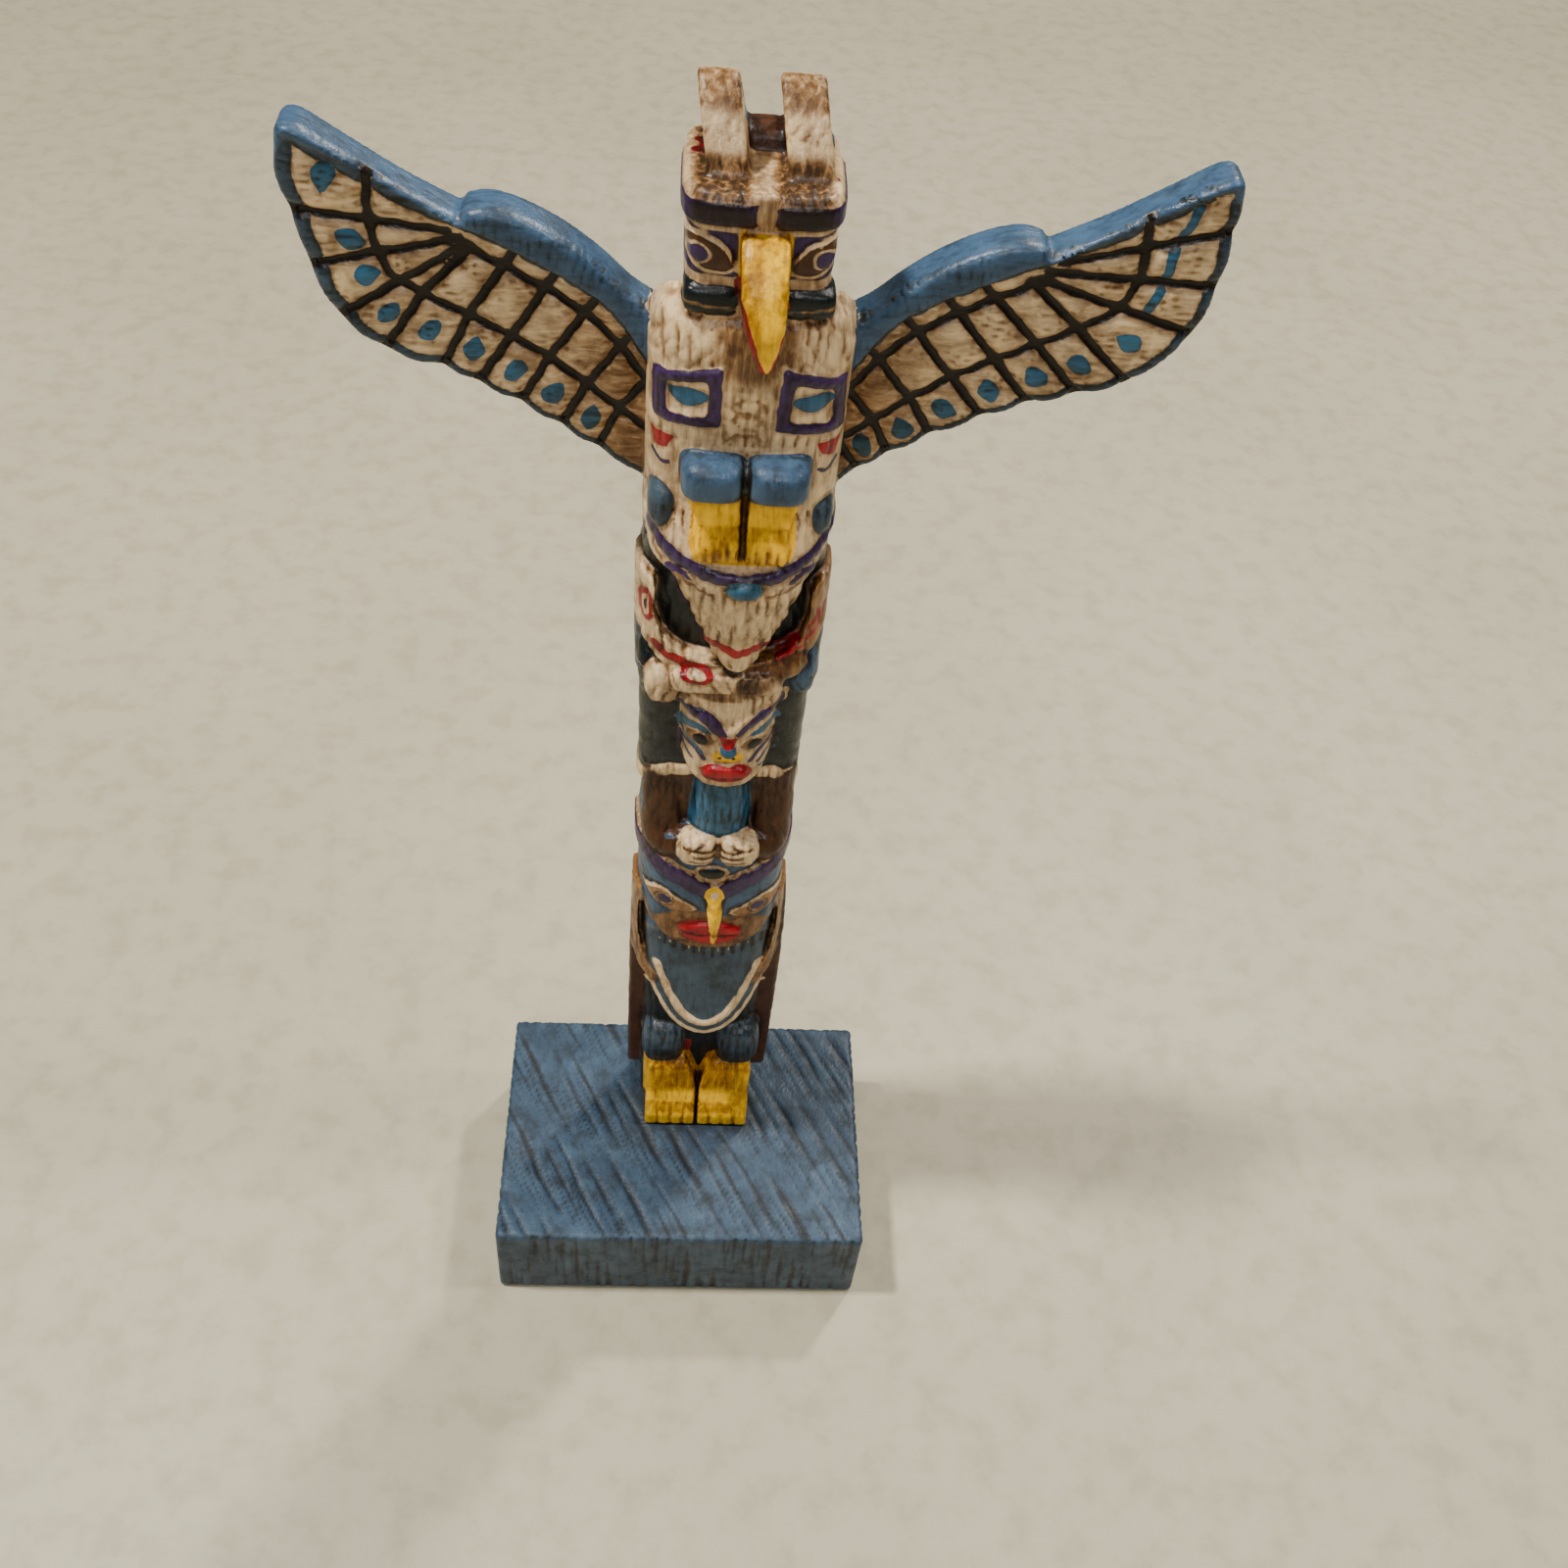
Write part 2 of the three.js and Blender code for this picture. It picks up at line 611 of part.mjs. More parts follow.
// Whole pole, carved from the foot up

function totemPole() {
  const log = cut(join([column(trunkLevels), ...thunderbirdChest()]), [shoulderSlope()]);
  const carving = join([
    log,
    ...feet(),
    ...knees(),
    ...foldedWings(),
    bib(),
    ...wingEdges(),
    birdFace(),
    humanTorso(),
    ...humanArms(),
    humanCape(),
    humanFace(),
    ...creatureBody(),
    ...pawsAndBar(),
    ...muzzle(),
    ...thunderbirdLegs(),
    ...thunderbirdHead(),
    thunderbirdBeak(),
    ...thunderbirdHorns(),
    ...wings.map(wing),
  ]);
  const geometry = meshGeometry(carving);
  geometry.scale(unit, unit, unit);
  return geometry;
}

// Grooved block: square bars laid with an edge down cut V-shaped grooves

function grooveBar(width, length) {
  return new THREE.CylinderGeometry(width / 2, width / 2, length, 4);
}

function topGrooves() {
  const reach = Math.hypot(baseWidth, baseDepth);
  const count = Math.floor(reach / topGroovePitch / 2);
  const bars = [];
  for (let i = -count; i <= count; i += 1) {
    const bar = grooveBar(topGrooveWidth, reach);
    bar.translate(i * topGroovePitch, 0, 0);
    bar.rotateZ(topGrooveAngle - Math.PI / 2);
    bar.translate(0, 0, baseHeight);
    bars.push(solid(bar));
  }
  return bars;
}

function sideGrooves() {
  const bars = [];
  const addRow = (length, place) => {
    const count = Math.floor((length - 2 * cornerMargin) / sideGroovePitch);
    for (let i = 0; i <= count; i += 1) {
      const along = (i - count / 2) * sideGroovePitch;
      [-1, 1].forEach((side) => {
        const bar = grooveBar(sideGrooveWidth, baseHeight * 2);
        bar.rotateX(Math.PI / 2);
        bar.translate(...place(along, side), baseHeight);
        bars.push(solid(bar));
      });
    }
  };
  addRow(baseWidth, (along, side) => [along, side * baseDepth / 2]);
  addRow(baseDepth, (along, side) => [side * baseWidth / 2, along]);
  return bars;
}

function baseBlock() {
  const block = new THREE.BoxGeometry(baseWidth, baseDepth, baseHeight);
  block.translate(0, 0, baseHeight / 2);
  return meshGeometry(cut(solid(block), [...topGrooves(), ...sideGrooves()]));
}

// Painted resin finishes, one for each piece

const paintedCarving = new THREE.MeshStandardMaterial({ color: 0xb39a78, roughness: 0.42, metalness: 0 });
const paintedBase = new THREE.MeshStandardMaterial({ color: 0x4a6785, roughness: 0.5, metalness: 0 });

const totem = new THREE.Group();

const base = new THREE.Mesh(baseBlock(), paintedBase);
base.name = 'base';
base.position.set(baseOffset, 0, 0);
totem.add(base);

const pole = new THREE.Mesh(totemPole(), paintedCarving);
pole.name = 'totem_pole';
pole.position.set(0, baseDepth / 2 - rearLedge - poleBack * unit, baseHeight);
totem.add(pole);

export default totem;
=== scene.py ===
# Painted resin totem pole with spread wings, standing on a grooved block.
# The carving's forms are joined as distance fields, meshed, given fine relief and painted by area.
# Lengths are millimetres in the pole's own frame: x to the viewer's right, y away, z up from its foot.

import bpy
import numpy as np
from mathutils import Matrix, Vector


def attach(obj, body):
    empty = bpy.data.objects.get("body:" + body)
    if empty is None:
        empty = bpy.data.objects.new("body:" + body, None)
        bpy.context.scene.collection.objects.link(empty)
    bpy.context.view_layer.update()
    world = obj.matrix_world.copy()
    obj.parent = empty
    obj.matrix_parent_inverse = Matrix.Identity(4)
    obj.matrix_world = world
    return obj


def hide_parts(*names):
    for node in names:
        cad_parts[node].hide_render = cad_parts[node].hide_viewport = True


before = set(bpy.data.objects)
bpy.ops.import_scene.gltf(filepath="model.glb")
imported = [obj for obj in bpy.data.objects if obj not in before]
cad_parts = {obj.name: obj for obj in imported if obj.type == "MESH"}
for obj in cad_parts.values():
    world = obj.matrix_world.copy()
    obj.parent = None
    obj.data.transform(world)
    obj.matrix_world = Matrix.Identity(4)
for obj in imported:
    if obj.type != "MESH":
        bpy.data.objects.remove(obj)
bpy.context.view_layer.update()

MM = 0.001
POLE_PLACE = np.array([0.0, 13.4, 24.0])
MIDDLE = 0.6
HEAD_MIDDLE = 0.3
SHIN_MIDDLE = 0.4
ARM_MIDDLE = 0.2
LOG_BACK = 9.0
FAR = 2.0
SIDES = (-1, 1)


# Lines and outlines

def curve(points, steps=6):
    """Smooth line through points, which may have any number of values each."""
    p = np.array(points, float)
    p = np.vstack([2 * p[0] - p[1], p, 2 * p[-1] - p[-2]])
    t = np.arange(steps)[:, None] / steps
    runs = [
        0.5 * (2 * b + (c - a) * t + (2 * a - 5 * b + 4 * c - d) * t**2 + (3 * b - a - 3 * c + d) * t**3)
        for a, b, c, d in zip(p[:-3], p[1:-2], p[2:-1], p[3:])
    ]
    return np.vstack([*runs, p[-2:-1]])


def mirror(points, side, middle=0.0):
    return [[side * x + middle, z] for x, z in points]


def side_box(side, inner, outer, low, high):
    """Box [left, right, low, high] on one side of the pole."""
    return *sorted([side * inner, side * outer]), low, high


def line_distance(points, u, v):
    best = np.full(np.broadcast(u, v).shape, 1e6)
    for (au, av), (bu, bv) in zip(points[:-1], points[1:]):
        eu, ev = bu - au, bv - av
        wu, wv = u - au, v - av
        t = np.clip((wu * eu + wv * ev) / (eu * eu + ev * ev + 1e-9), 0, 1)
        best = np.minimum(best, (wu - eu * t) ** 2 + (wv - ev * t) ** 2)
    return np.sqrt(best)


def ribbon(points, width):
    return lambda u, v: line_distance(points, u, v) - width / 2


def polygon(points):
    """Signed distance to a closed outline, negative inside."""
    points = [tuple(p) for p in points]
    ends = points[1:] + points[:1]

    def shape(u, v):
        distance = line_distance(points + points[:1], u, v)
        sign = np.ones(np.broadcast(u, v).shape)
        for (au, av), (bu, bv) in zip(points, ends):
            above, below = v >= av, v < bv
            left = (bu - au) * (v - av) > (bv - av) * (u - au)
            sign = np.where((above & below & left) | ~(above | below | left), -sign, sign)
        return distance * sign

    return shape


def oval(cu, cv, ru, rv, turn=0.0):
    c, s = np.cos(turn), np.sin(turn)

    def shape(u, v):
        a = ((u - cu) * c + (v - cv) * s) / ru
        b = ((v - cv) * c - (u - cu) * s) / rv
        r = np.sqrt(a * a + b * b)
        return (r - 1) * r / np.sqrt((a / ru) ** 2 + (b / rv) ** 2 + 1e-9)

    return shape


def shrunk(corners, share):
    p = np.array(corners, float)
    return p.mean(0) + (p - p.mean(0)) * share


def opened(corners, opening):
    """Outline with a smaller opening of the same form about its centre."""
    outer, inner = polygon(corners), polygon(shrunk(corners, opening))
    return lambda u, v: np.maximum(outer(u, v), -inner(u, v))


# Solid forms. Each is (lowest corner, highest corner, distance function of x, y, z)

def rounded(a, b, r):
    """Meeting of two distances with its edge rounded."""
    a, b = a + r, b + r
    return np.minimum(np.maximum(a, b), 0) + np.hypot(np.maximum(a, 0), np.maximum(b, 0)) - r


def column(levels, power=3.0, x=0.0, swell=0.0):
    """Upright log through levels of [z, half width, front depth, back depth]."""
    rows = np.array(levels, float)
    zs = rows[:, 0]
    widest = rows[:, 1].max() + swell
    lo = (x - widest, -rows[:, 2].max() - swell, zs[0])
    hi = (x + widest, rows[:, 3].max(), zs[-1])

    def distance(X, Y, Z):
        half = np.interp(Z, zs, rows[:, 1]) + swell
        front = np.interp(Z, zs, rows[:, 2]) + swell
        back = np.interp(Z, zs, rows[:, 3])
        depth = np.where(Y < 0, front, back)
        u = np.abs(X - x) / half
        v = np.abs(Y) / depth
        r = (u**power + v**power + 1e-6) ** (1 / power)
        slope = np.hypot(u ** (power - 1) / half, v ** (power - 1) / depth) * r ** (1 - power)
        body = (r - 1) / np.maximum(slope, 0.02)
        return rounded(body, np.maximum(zs[0] - Z, Z - zs[-1]), 0.35)

    return lo, hi, distance


def boulder(centre, half, power=3.0):
    c, h = np.array(centre), np.array(half)

    def distance(X, Y, Z):
        u = np.abs(X - c[0]) / h[0]
        v = np.abs(Y - c[1]) / h[1]
        w = np.abs(Z - c[2]) / h[2]
        r = (u**power + v**power + w**power + 1e-6) ** (1 / power)
        q = power - 1
        slope = np.sqrt((u**q / h[0]) ** 2 + (v**q / h[1]) ** 2 + (w**q / h[2]) ** 2) * r ** (1 - power)
        return (r - 1) / np.maximum(slope, 0.04)

    return tuple(c - h), tuple(c + h), distance


def limb(joints):
    """Rounded limb through joints of [x, y, z, radius]."""
    path = curve(joints, 5)
    fat = path[:, 3:4]
    lo, hi = (path[:, :3] - fat).min(0), (path[:, :3] + fat).max(0)

    def distance(X, Y, Z):
        best = np.full(np.broadcast(X, Y, Z).shape, 1e6)
        for a, b in zip(path[:-1], path[1:]):
            e = b[:3] - a[:3]
            dx, dy, dz = X - a[0], Y - a[1], Z - a[2]
            t = np.clip((dx * e[0] + dy * e[1] + dz * e[2]) / (e @ e), 0, 1)
            far = np.sqrt((dx - e[0] * t) ** 2 + (dy - e[1] * t) ** 2 + (dz - e[2] * t) ** 2)
            best = np.minimum(best, far - a[3] - (b[3] - a[3]) * t)
        return best

    return tuple(lo), tuple(hi), distance


def slab(shape, box, front, back, soft=0.3):
    """Outline in x and z, with its box [left, right, low, high], carried from front to back."""
    left, right, low, high = box
    middle, half = (front + back) / 2, (back - front) / 2

    def distance(X, Y, Z):
        return rounded(shape(X, Z), np.abs(Y - middle) - half, soft)

    return (left, front, low), (right, back, high), distance


def profile(points, left, right, soft=0.4):
    """Outline in y and z, carried from left to right."""
    shape = polygon(points)
    p = np.array(points)
    middle, half = (left + right) / 2, (right - left) / 2

    def distance(X, Y, Z):
        return rounded(shape(Y, Z), np.abs(X - middle) - half, soft)

    return (left, p[:, 0].min(), p[:, 1].min()), (right, p[:, 0].max(), p[:, 1].max()), distance


def meet(one, other, soft=0.3):
    lo = tuple(np.maximum(one[0], other[0]))
    hi = tuple(np.minimum(one[1], other[1]))
    return lo, hi, lambda X, Y, Z: rounded(one[2](X, Y, Z), other[2](X, Y, Z), soft)


def relief(shape, box, levels, swell=0.6, **log):
    """Raised ornament on the front of a log."""
    return meet(slab(shape, box, -30, 1.3), column(levels, swell=swell, **log), 0.25)


def box_of(points, width=0.0):
    p = np.array(points)
    (left, low), (right, high) = p.min(0) - width, p.max(0) + width
    return left, right, low, high


def plate(outline, front, back, soft=0.3):
    """Closed outline in x and z, carried from front to back."""
    return slab(polygon(outline), box_of(outline), front, back, soft)


def ridge(points, width, reach, levels, **log):
    """Raised line on the front of a log."""
    return relief(ribbon(points, width), box_of(points, reach), levels, **log)


# Forms of the carving, from the foot up

LOG = [
    [0, 11.9, 7, 11.5], [40, 12.3, 7.6, 11.5], [72, 12.9, 9, 11.5], [112, 13.1, 7.7, 11.5],
    [140, 13.7, 8.4, 11.5], [198, 13.9, 9, 11.5], [203.6, 12.8, 8.4, 10.6],
]
CHEST = [[165, 14.2, 12.4, 7.6], [198, 14.4, 12.6, 7.6], [202.4, 13.7, 11.9, 7.6], [205.2, 12, 10, 6.6]]
BULGE = [[34, 12.9, 14, 3], [42, 13.2, 13.4, 3], [56, 13.4, 11.6, 3], [72, 13.5, 9.6, 3]]
EDGE_LOG = [[45, 14.2, 10.6, 5], [80, 14.2, 10.6, 5]]
BIRD_FACE = [[64, 13.5, 12.4, 7.6], [99, 13.7, 12.6, 7.6]]
FACE = [[111, 8.5, 13.6, 4], [137.5, 8.7, 13.6, 4]]
FIN_LOG = [[130, 14.6, 11.6, 5], [160, 14.8, 11.6, 5]]
HEAD = [[188, 9.3, 9.8, 5.2], [203, 9.5, 10.4, 5.6], [209, 9.8, 11, 6], [221.4, 9.9, 11.9, 6.4]]

TONGUE = curve([
    [-13.6, 72], [-12.6, 56], [-9.6, 48], [-5.2, 41], [MIDDLE, 37.8],
    [6.4, 41], [10.8, 48], [13.8, 56], [14.8, 72],
], 5)
BIB_LINE = curve([
    [-9.4, 58], [-6.6, 50.6], [-3.5, 44.6], [MIDDLE, 42], [4.7, 44.6], [7.8, 50.6], [10.6, 58],
], 4)
WING_EDGE = curve([[13.9, 77], [14.8, 70], [14.2, 62], [12.8, 56], [10.2, 53]], 4)
BIRD_SHIELD = [
    [-14.4, 99], [-14.4, 79], [-12.6, 73.4], [-8.8, 69], [-4.2, 66.6], [MIDDLE, 65.8],
    [5.4, 66.6], [10, 69], [13.8, 73.4], [14.4, 79], [14.4, 99],
]
BIRD_BROW = curve([
    [-13.6, 93.4], [-9.4, 90.6], [-4.4, 87.6], [MIDDLE, 84.6], [5.6, 87.6], [10.6, 90.6], [14.4, 93],
], 4)
JAW = [
    [-8.2, 137], [-8.4, 124.6], [-8, 119.8], [-6.2, 116.2], [-3.2, 114.2], [MIDDLE, 113.4],
    [4.4, 114.2], [7.4, 116.2], [9.2, 119.8], [9.6, 124.6], [9.4, 137],
]
FIN_LINE = curve([[14, 155], [13.9, 148.6], [11.4, 143.8], [7.4, 141.2], [2, 140]], 5)
HEM = [
    [-15.5, 104.6], [-13.5, 107.4], [-11.4, 109.8], [-8.3, 111.6],
    [MIDDLE, 112.4], [9.4, 111.6], [11.6, 109.4], [13.6, 106.4], [15.5, 103.4],
]
HEM_RISE = 2.6
EYE_FRAMES = [
    [[-13.4, 194.4], [-3.9, 197.2], [-3.8, 187.8], [-13.2, 186.8]],
    [[4.2, 197.6], [13.2, 194.6], [13.7, 186], [3.7, 187.6]],
]
BIRD_EYES = [
    [[-13, 82.3], [-9.4, 84.2], [-5.8, 81.9], [-2, 78.8], [-6.4, 77.7], [-10.2, 79.1]],
    [[14.2, 81.8], [10.2, 82.6], [6.6, 80.6], [3.4, 77.8], [8, 76.6], [11.8, 77.9]],
]


def sloped(form):
    """Form cut off by the slope of the shoulders, which fall away to the back."""
    run, fall = 17.7, 21.4
    length = np.hypot(run, fall)
    lo, hi, inner = form
    return lo, hi, lambda X, Y, Z: rounded(
        inner(X, Y, Z), ((Y + 5.2) * fall + (Z - 206) * run) / length + 0 * X, 0.8
    )


def muzzle():
    """Ellipse that narrows and leans back on its way down from a sagging rim to the chin."""
    chin, rim, sag = 141.8, 168.0, 3.6

    def distance(X, Y, Z):
        rise = np.clip((Z - chin) / (rim - chin), 0, 1) + 0 * Y
        for _ in range(3):
            along = np.clip((Y - (-12.4 + 9.4 * rise)) / (1.3 + 13.1 * rise), -1, 0)
            rise = np.clip((Z - chin + sag * rise * along**2) / (rim - chin), 0, 1)
        wide = 0.9 + 13.3 * rise**0.7
        deep = 1.3 + 13.1 * rise
        a = (X - 1.2 + 0.6 * rise) / wide
        b = (Y + 12.4 - 9.4 * rise) / deep
        r = np.sqrt(a * a + b * b + 1e-9)
        slope = np.sqrt((a / wide) ** 2 + (b / deep) ** 2) / r
        body = 0.8 * (r - 1) / np.maximum(slope, 0.04)
        top = Z - rim + sag * np.clip(-b, 0, 1) ** 2
        return rounded(body, np.maximum(chin - Z, top), 0.5)

    return (-14.4, -19.6, chin), (15, 12, rim), distance


def shin(side):
    front = [[0.35, 180], [8.6, 180], [7.6, 176], [6.6, 172.6], [6.9, 168.4], [6.2, 166.4], [0.35, 166.4]]
    front = mirror(front, side, SHIN_MIDDLE)
    side_view = [
        [-8, 180], [-15.6, 180], [-15.2, 176], [-15.6, 173.4],
        [-16.4, 171], [-17, 168.6], [-16.4, 166.4], [-8, 166.4],
    ]
    return meet(plate(front, -20, -8), profile(side_view, -12, 12), 0.5)


def horn(left, width):
    side_view = curve([
        [-8.2, 219], [-6.8, 224], [-4.2, 229], [-0.8, 231.5], [2.4, 229.8], [5, 225], [6, 219],
    ], 6)
    lean = -2.4
    front = [[left, 219], [left + width, 219], [left + width + lean, 232], [left + lean, 232]]
    return meet(plate(front, -12, 10), profile(side_view, -12, 12, 0.2), 0.6)


def beak():
    side_view = np.vstack([
        curve([[-11, 216.6], [-14.6, 214.8], [-17.6, 211.4], [-19.2, 206.6], [-19.1, 200.6]], 6),
        curve([[-18.1, 201.4], [-16, 205], [-11, 208]], 4),
        [[-6, 208], [-6, 216.6]],
    ])
    front = [
        [-2.7, 217], [-2.5, 210], [-1.4, 205.6], [0.8, 200], [2, 200], [3.3, 205.8], [3.7, 210], [3.6, 217],
    ]
    return meet(profile(side_view, -6, 6, 0.2), plate(front, -24, -4, 0.2), 0.7)


def strip(side):
    points = curve([
        [-4.6, 60], [-3.6, 69], [0.2, 72.4], [4.4, 69.4], [5.8, 58], [5.2, 38], [3.2, 19], [0.8, 7.6],
        [-1.8, 9.6], [-3.4, 28], [-4.6, 46], [-4.6, 60],
    ], 3)[:-1]
    ends = sorted([side * 10, side * 15.3 + 0.3])
    return profile(points, ends[0], ends[1], 0.8)


FOOT = [
    [-13, 0], [-13, 3.8], [-12.3, 6], [-11.5, 8.4], [-10.8, 11],
    [-10.4, 19.6], [-9.4, 21.4], [-4, 21.4], [-4, 0],
]


def foot(side):
    front = mirror([[0.3, 0], [11.2, 0], [11.2, 21.4], [2.8, 21.4], [0.3, 12.4]], side, MIDDLE)
    return meet(plate(front, -14, -3, 0.5), profile(FOOT, -14, 14, 0.5), 0.7)


def cloth(levels, outline):
    return meet(plate(outline, -14, 14), column(levels), 0.4)


def upper_brow(side):
    points = mirror([[1, 128], [3.6, 131.2], [7.8, 133]], side, MIDDLE)
    return ridge(points, 2.2, 2, FACE, swell=0.8, x=MIDDLE)


def both(make):
    return [make(side) for side in SIDES]


FORMS = {
    "log": [sloped(column(LOG))],
    "chest": [sloped(column(CHEST))],
    "feet": both(foot),
    "knees": both(lambda s: boulder([s * 7.9 + MIDDLE, -5.8, 25.6], [4.6, 4.2, 6.6])),
    "strips": both(strip),
    "bib": [meet(plate(TONGUE, -20, 0), column(BULGE), 0.7)],
    "bib line": [ridge(BIB_LINE, 1.4, 1, BULGE)],
    "wing edges": both(lambda s: ridge(mirror(WING_EDGE, s), 2.8, 1.6, EDGE_LOG)),
    "bird face": [
        meet(plate(BIRD_SHIELD, -20, 0), column(BIRD_FACE), 0.8),
        column([[60, 13.4, 9.8, 7.6], [99.4, 13.6, 10.2, 7.6]]),
    ],
    "bird brow": [ridge(BIRD_BROW, 4, 2, BIRD_FACE, swell=0.9)],
    "bird eyes": [relief(polygon(points), box_of(points), BIRD_FACE, swell=0.4) for points in BIRD_EYES],
    "bird lips": [relief(oval(MIDDLE, 71.8, 5.9, 2.9), (-5.4, 6.6, 68.8, 74.8), BIRD_FACE, swell=0.8)],
    "small beak": [limb([[MIDDLE, -12.6, 85, 1.4], [0.9, -14.9, 80.4, 1.4], [1, -15.8, 73, 0.5]])],
    "boss": [boulder([-0.1, -11.6, 90.4], [2.6, 2, 2])],
    "torso": [column([[94, 6.4, 11.6, 4], [104.5, 5.8, 11.9, 4], [114.6, 4.7, 11.2, 4]], x=MIDDLE)],
    "arms": both(lambda s: limb([
        [s * 9.8 + ARM_MIDDLE, -4.4, 110.4, 3.7], [s * 9.8 + ARM_MIDDLE, -6.2, 101, 3.8],
        [s * 9.1 + ARM_MIDDLE, -8.3, 95.6, 3.7], [s * 5.4 + MIDDLE, -10.4, 96.4, 3.1],
    ])),
    "fists": both(lambda s: boulder([s * 3.6 + MIDDLE, -11.6, 96.6], [3.7, 3.2, 3.3], 3.0)),
    "cape": [cloth([[100, 14.1, 8.5, 7.6], [137, 14.4, 8.9, 7.6]], [*HEM, [15.5, 137], [-15.5, 137]])],
    "hem": [cloth(
        [[100, 14.5, 9, 7.6], [118, 14.5, 9, 7.6]],
        [*HEM, *[[x, z + HEM_RISE] for x, z in HEM[::-1]]],
    )],
    "face": [meet(plate(JAW, -20, 0), column(FACE, x=MIDDLE), 1.6)],
    "face brows": both(upper_brow),
    "face eyes": both(lambda s: relief(
        oval(s * 4.6 + MIDDLE, 126, 2.6, 1.4, s * -0.2),
        (s * 4.6 - 2.4, s * 4.6 + 3.6, 124, 128), FACE, swell=0.4, x=MIDDLE,
    )),
    "lips": [relief(oval(MIDDLE + 0.1, 118.6, 3.8, 1.9), (-3.4, 4.8, 116.4, 120.8), FACE, swell=1, x=MIDDLE)],
    "nose": [limb([[MIDDLE + 0.3, -12.9, 129, 1], [MIDDLE + 0.4, -13.8, 124.8, 1.9]])],
    "bar": [boulder([-0.2, -9.6, 138.6], [9.4, 4.2, 2.5], 5)],
    "left paw": [boulder([-10.2, -8.2, 135.8], [3.3, 4.2, 4.5], 2.6)],
    "right paw": [limb([[3.2, -11.2, 138.2, 2.6], [9.6, -8.6, 141, 3.2]])],
    "cuffs": both(lambda s: boulder([s * 12.3, -5.4, 137], [2.7, 3.8, 5.4], 2.4)),
    "creature": [column([[134, 14.2, 8.6, 7.6], [168, 14.3, 9.4, 7.6]])],
    "fins": both(lambda s: ridge(mirror(FIN_LINE, s), 4.4, 2.4, FIN_LOG)),
    "side plates": both(lambda s: boulder([s * 12.6, 0, 145], [2.7, 6.4, 13], 4)),
    "muzzle": [muzzle()],
    "forehead": [column([[162, 13.6, 15.8, 4], [166.4, 14, 15.6, 4], [173, 14, 12.8, 4]])],
    "muzzle nose": [boulder([1.2, -16.4, 162.2], [2.7, 1.8, 1.7], 2.6)],
    "thighs": both(lambda s: boulder([s * 4.6 + 0.2, -11.9, 180.2], [4.6, 5.2, 3.3], 3.8)),
    "shins": both(shin),
    "pads": [
        boulder([-11.3, -8, 171.8], [2.4, 3.8, 4.2], 2.4),
        boulder([11.5, -7.8, 170.8], [2.2, 3.6, 3.2], 2.4),
    ],
    "frames": [relief(opened(corners, 0.6), box_of(corners), CHEST) for corners in EYE_FRAMES],
    "head": [column(HEAD, 6)],
    "brows": both(lambda s: relief(
        polygon([
            [s * 1.4 + HEAD_MIDDLE, 217], [s * 11, 217], [s * 11, 220.5], [s * 1.4 + HEAD_MIDDLE, 220.5],
        ]),
        box_of([[s * 1.4 + HEAD_MIDDLE, 217], [s * 11, 220.5]]), HEAD, power=6,
    )),
    "eyes": both(lambda s: relief(
        oval(s * 6.5 + HEAD_MIDDLE, 212.9, 3.1, 2, s * 0.3),
        (s * 6.5 - 3, s * 6.5 + 3.6, 210.6, 215.2), HEAD, swell=0.4, power=6,
    )),
    "jaws": both(lambda s: boulder([s * 6.4 + HEAD_MIDDLE, -8.6, 206.2], [3.6, 3, 2.1], 5)),
    "beak": [beak()],
    "horns": [horn(-6.8, 5.3), horn(3.4, 5.8)],
    "saddle": [boulder([0, 2.8, 220.4], [5.4, 3.2, 3.4], 4)],
}


# Spread wings, drawn at the viewer's right and mirrored

WING_ROOT = 13.0
WING_REACH = 62.6
HALF_WING = 3.0
BAND_RAISE = 0.7
WRIST = 38.5
TIP_TOP = 219.4
TIP_FALL = 12.0
TIP_SHARE = 0.4
SCALLOP = 0.16
LEADING = [[13, 198.6], [16.6, 201], [20.6, 204.8], [25.4, 208.4], [30.4, 211], [34.6, 212.2], [37.8, 211.8]]
OUTER_LEADING = [[39, 210.6], [46.8, 214.8], [54, 219.4], [59.4, 222.8], [61.6, 222.2], [62.2, 219.4]]
BAND = [[13, 189.6], [15.6, 192.8], [19.2, 198.4], [24.2, 202.2], [29.8, 205.2], [34.4, 207.6], [38.8, 209.6]]
OUTER_BAND = [[37.6, 208.6], [45.8, 213.8], [53, 218.2], [60.2, 221.6]]
FIRST_ROW = [[13.6, 186.4], [16.7, 191.4], [20.6, 196], [25.6, 199.8], [31, 202.8], [37.2, 206]]
SECOND_ROW = [
    [13, 178.4], [18.4, 183], [23.2, 187], [28.5, 191], [34.2, 194.2], [39.6, 197], [44.8, 199.8],
    [49.6, 203], [51.6, 207.8], [51.2, 213], [50.4, 217.4],
]
FEATHERS = [
    [[40.6, 209.6], [61.9, 215.6]],
    [[39, 208.1], [62, 207.6]],
    [[38, 207], [60.6, 200.2]],
    [[37, 206.6], [44.8, 199.8], [53.4, 191.8]],
    [[30.4, 206], [39.6, 197], [46.6, 189.6]],
    [[25.8, 203.6], [34.2, 194.2], [39.9, 187.6]],
    [[20.8, 200], [28.5, 191], [33.8, 184.9]],
    [[16.8, 194.4], [23.2, 187], [26.9, 181.3]],
    [[14.4, 187.8], [18.4, 183], [21.2, 177.5]],
    [[13.2, 180], [17, 174.4]],
]
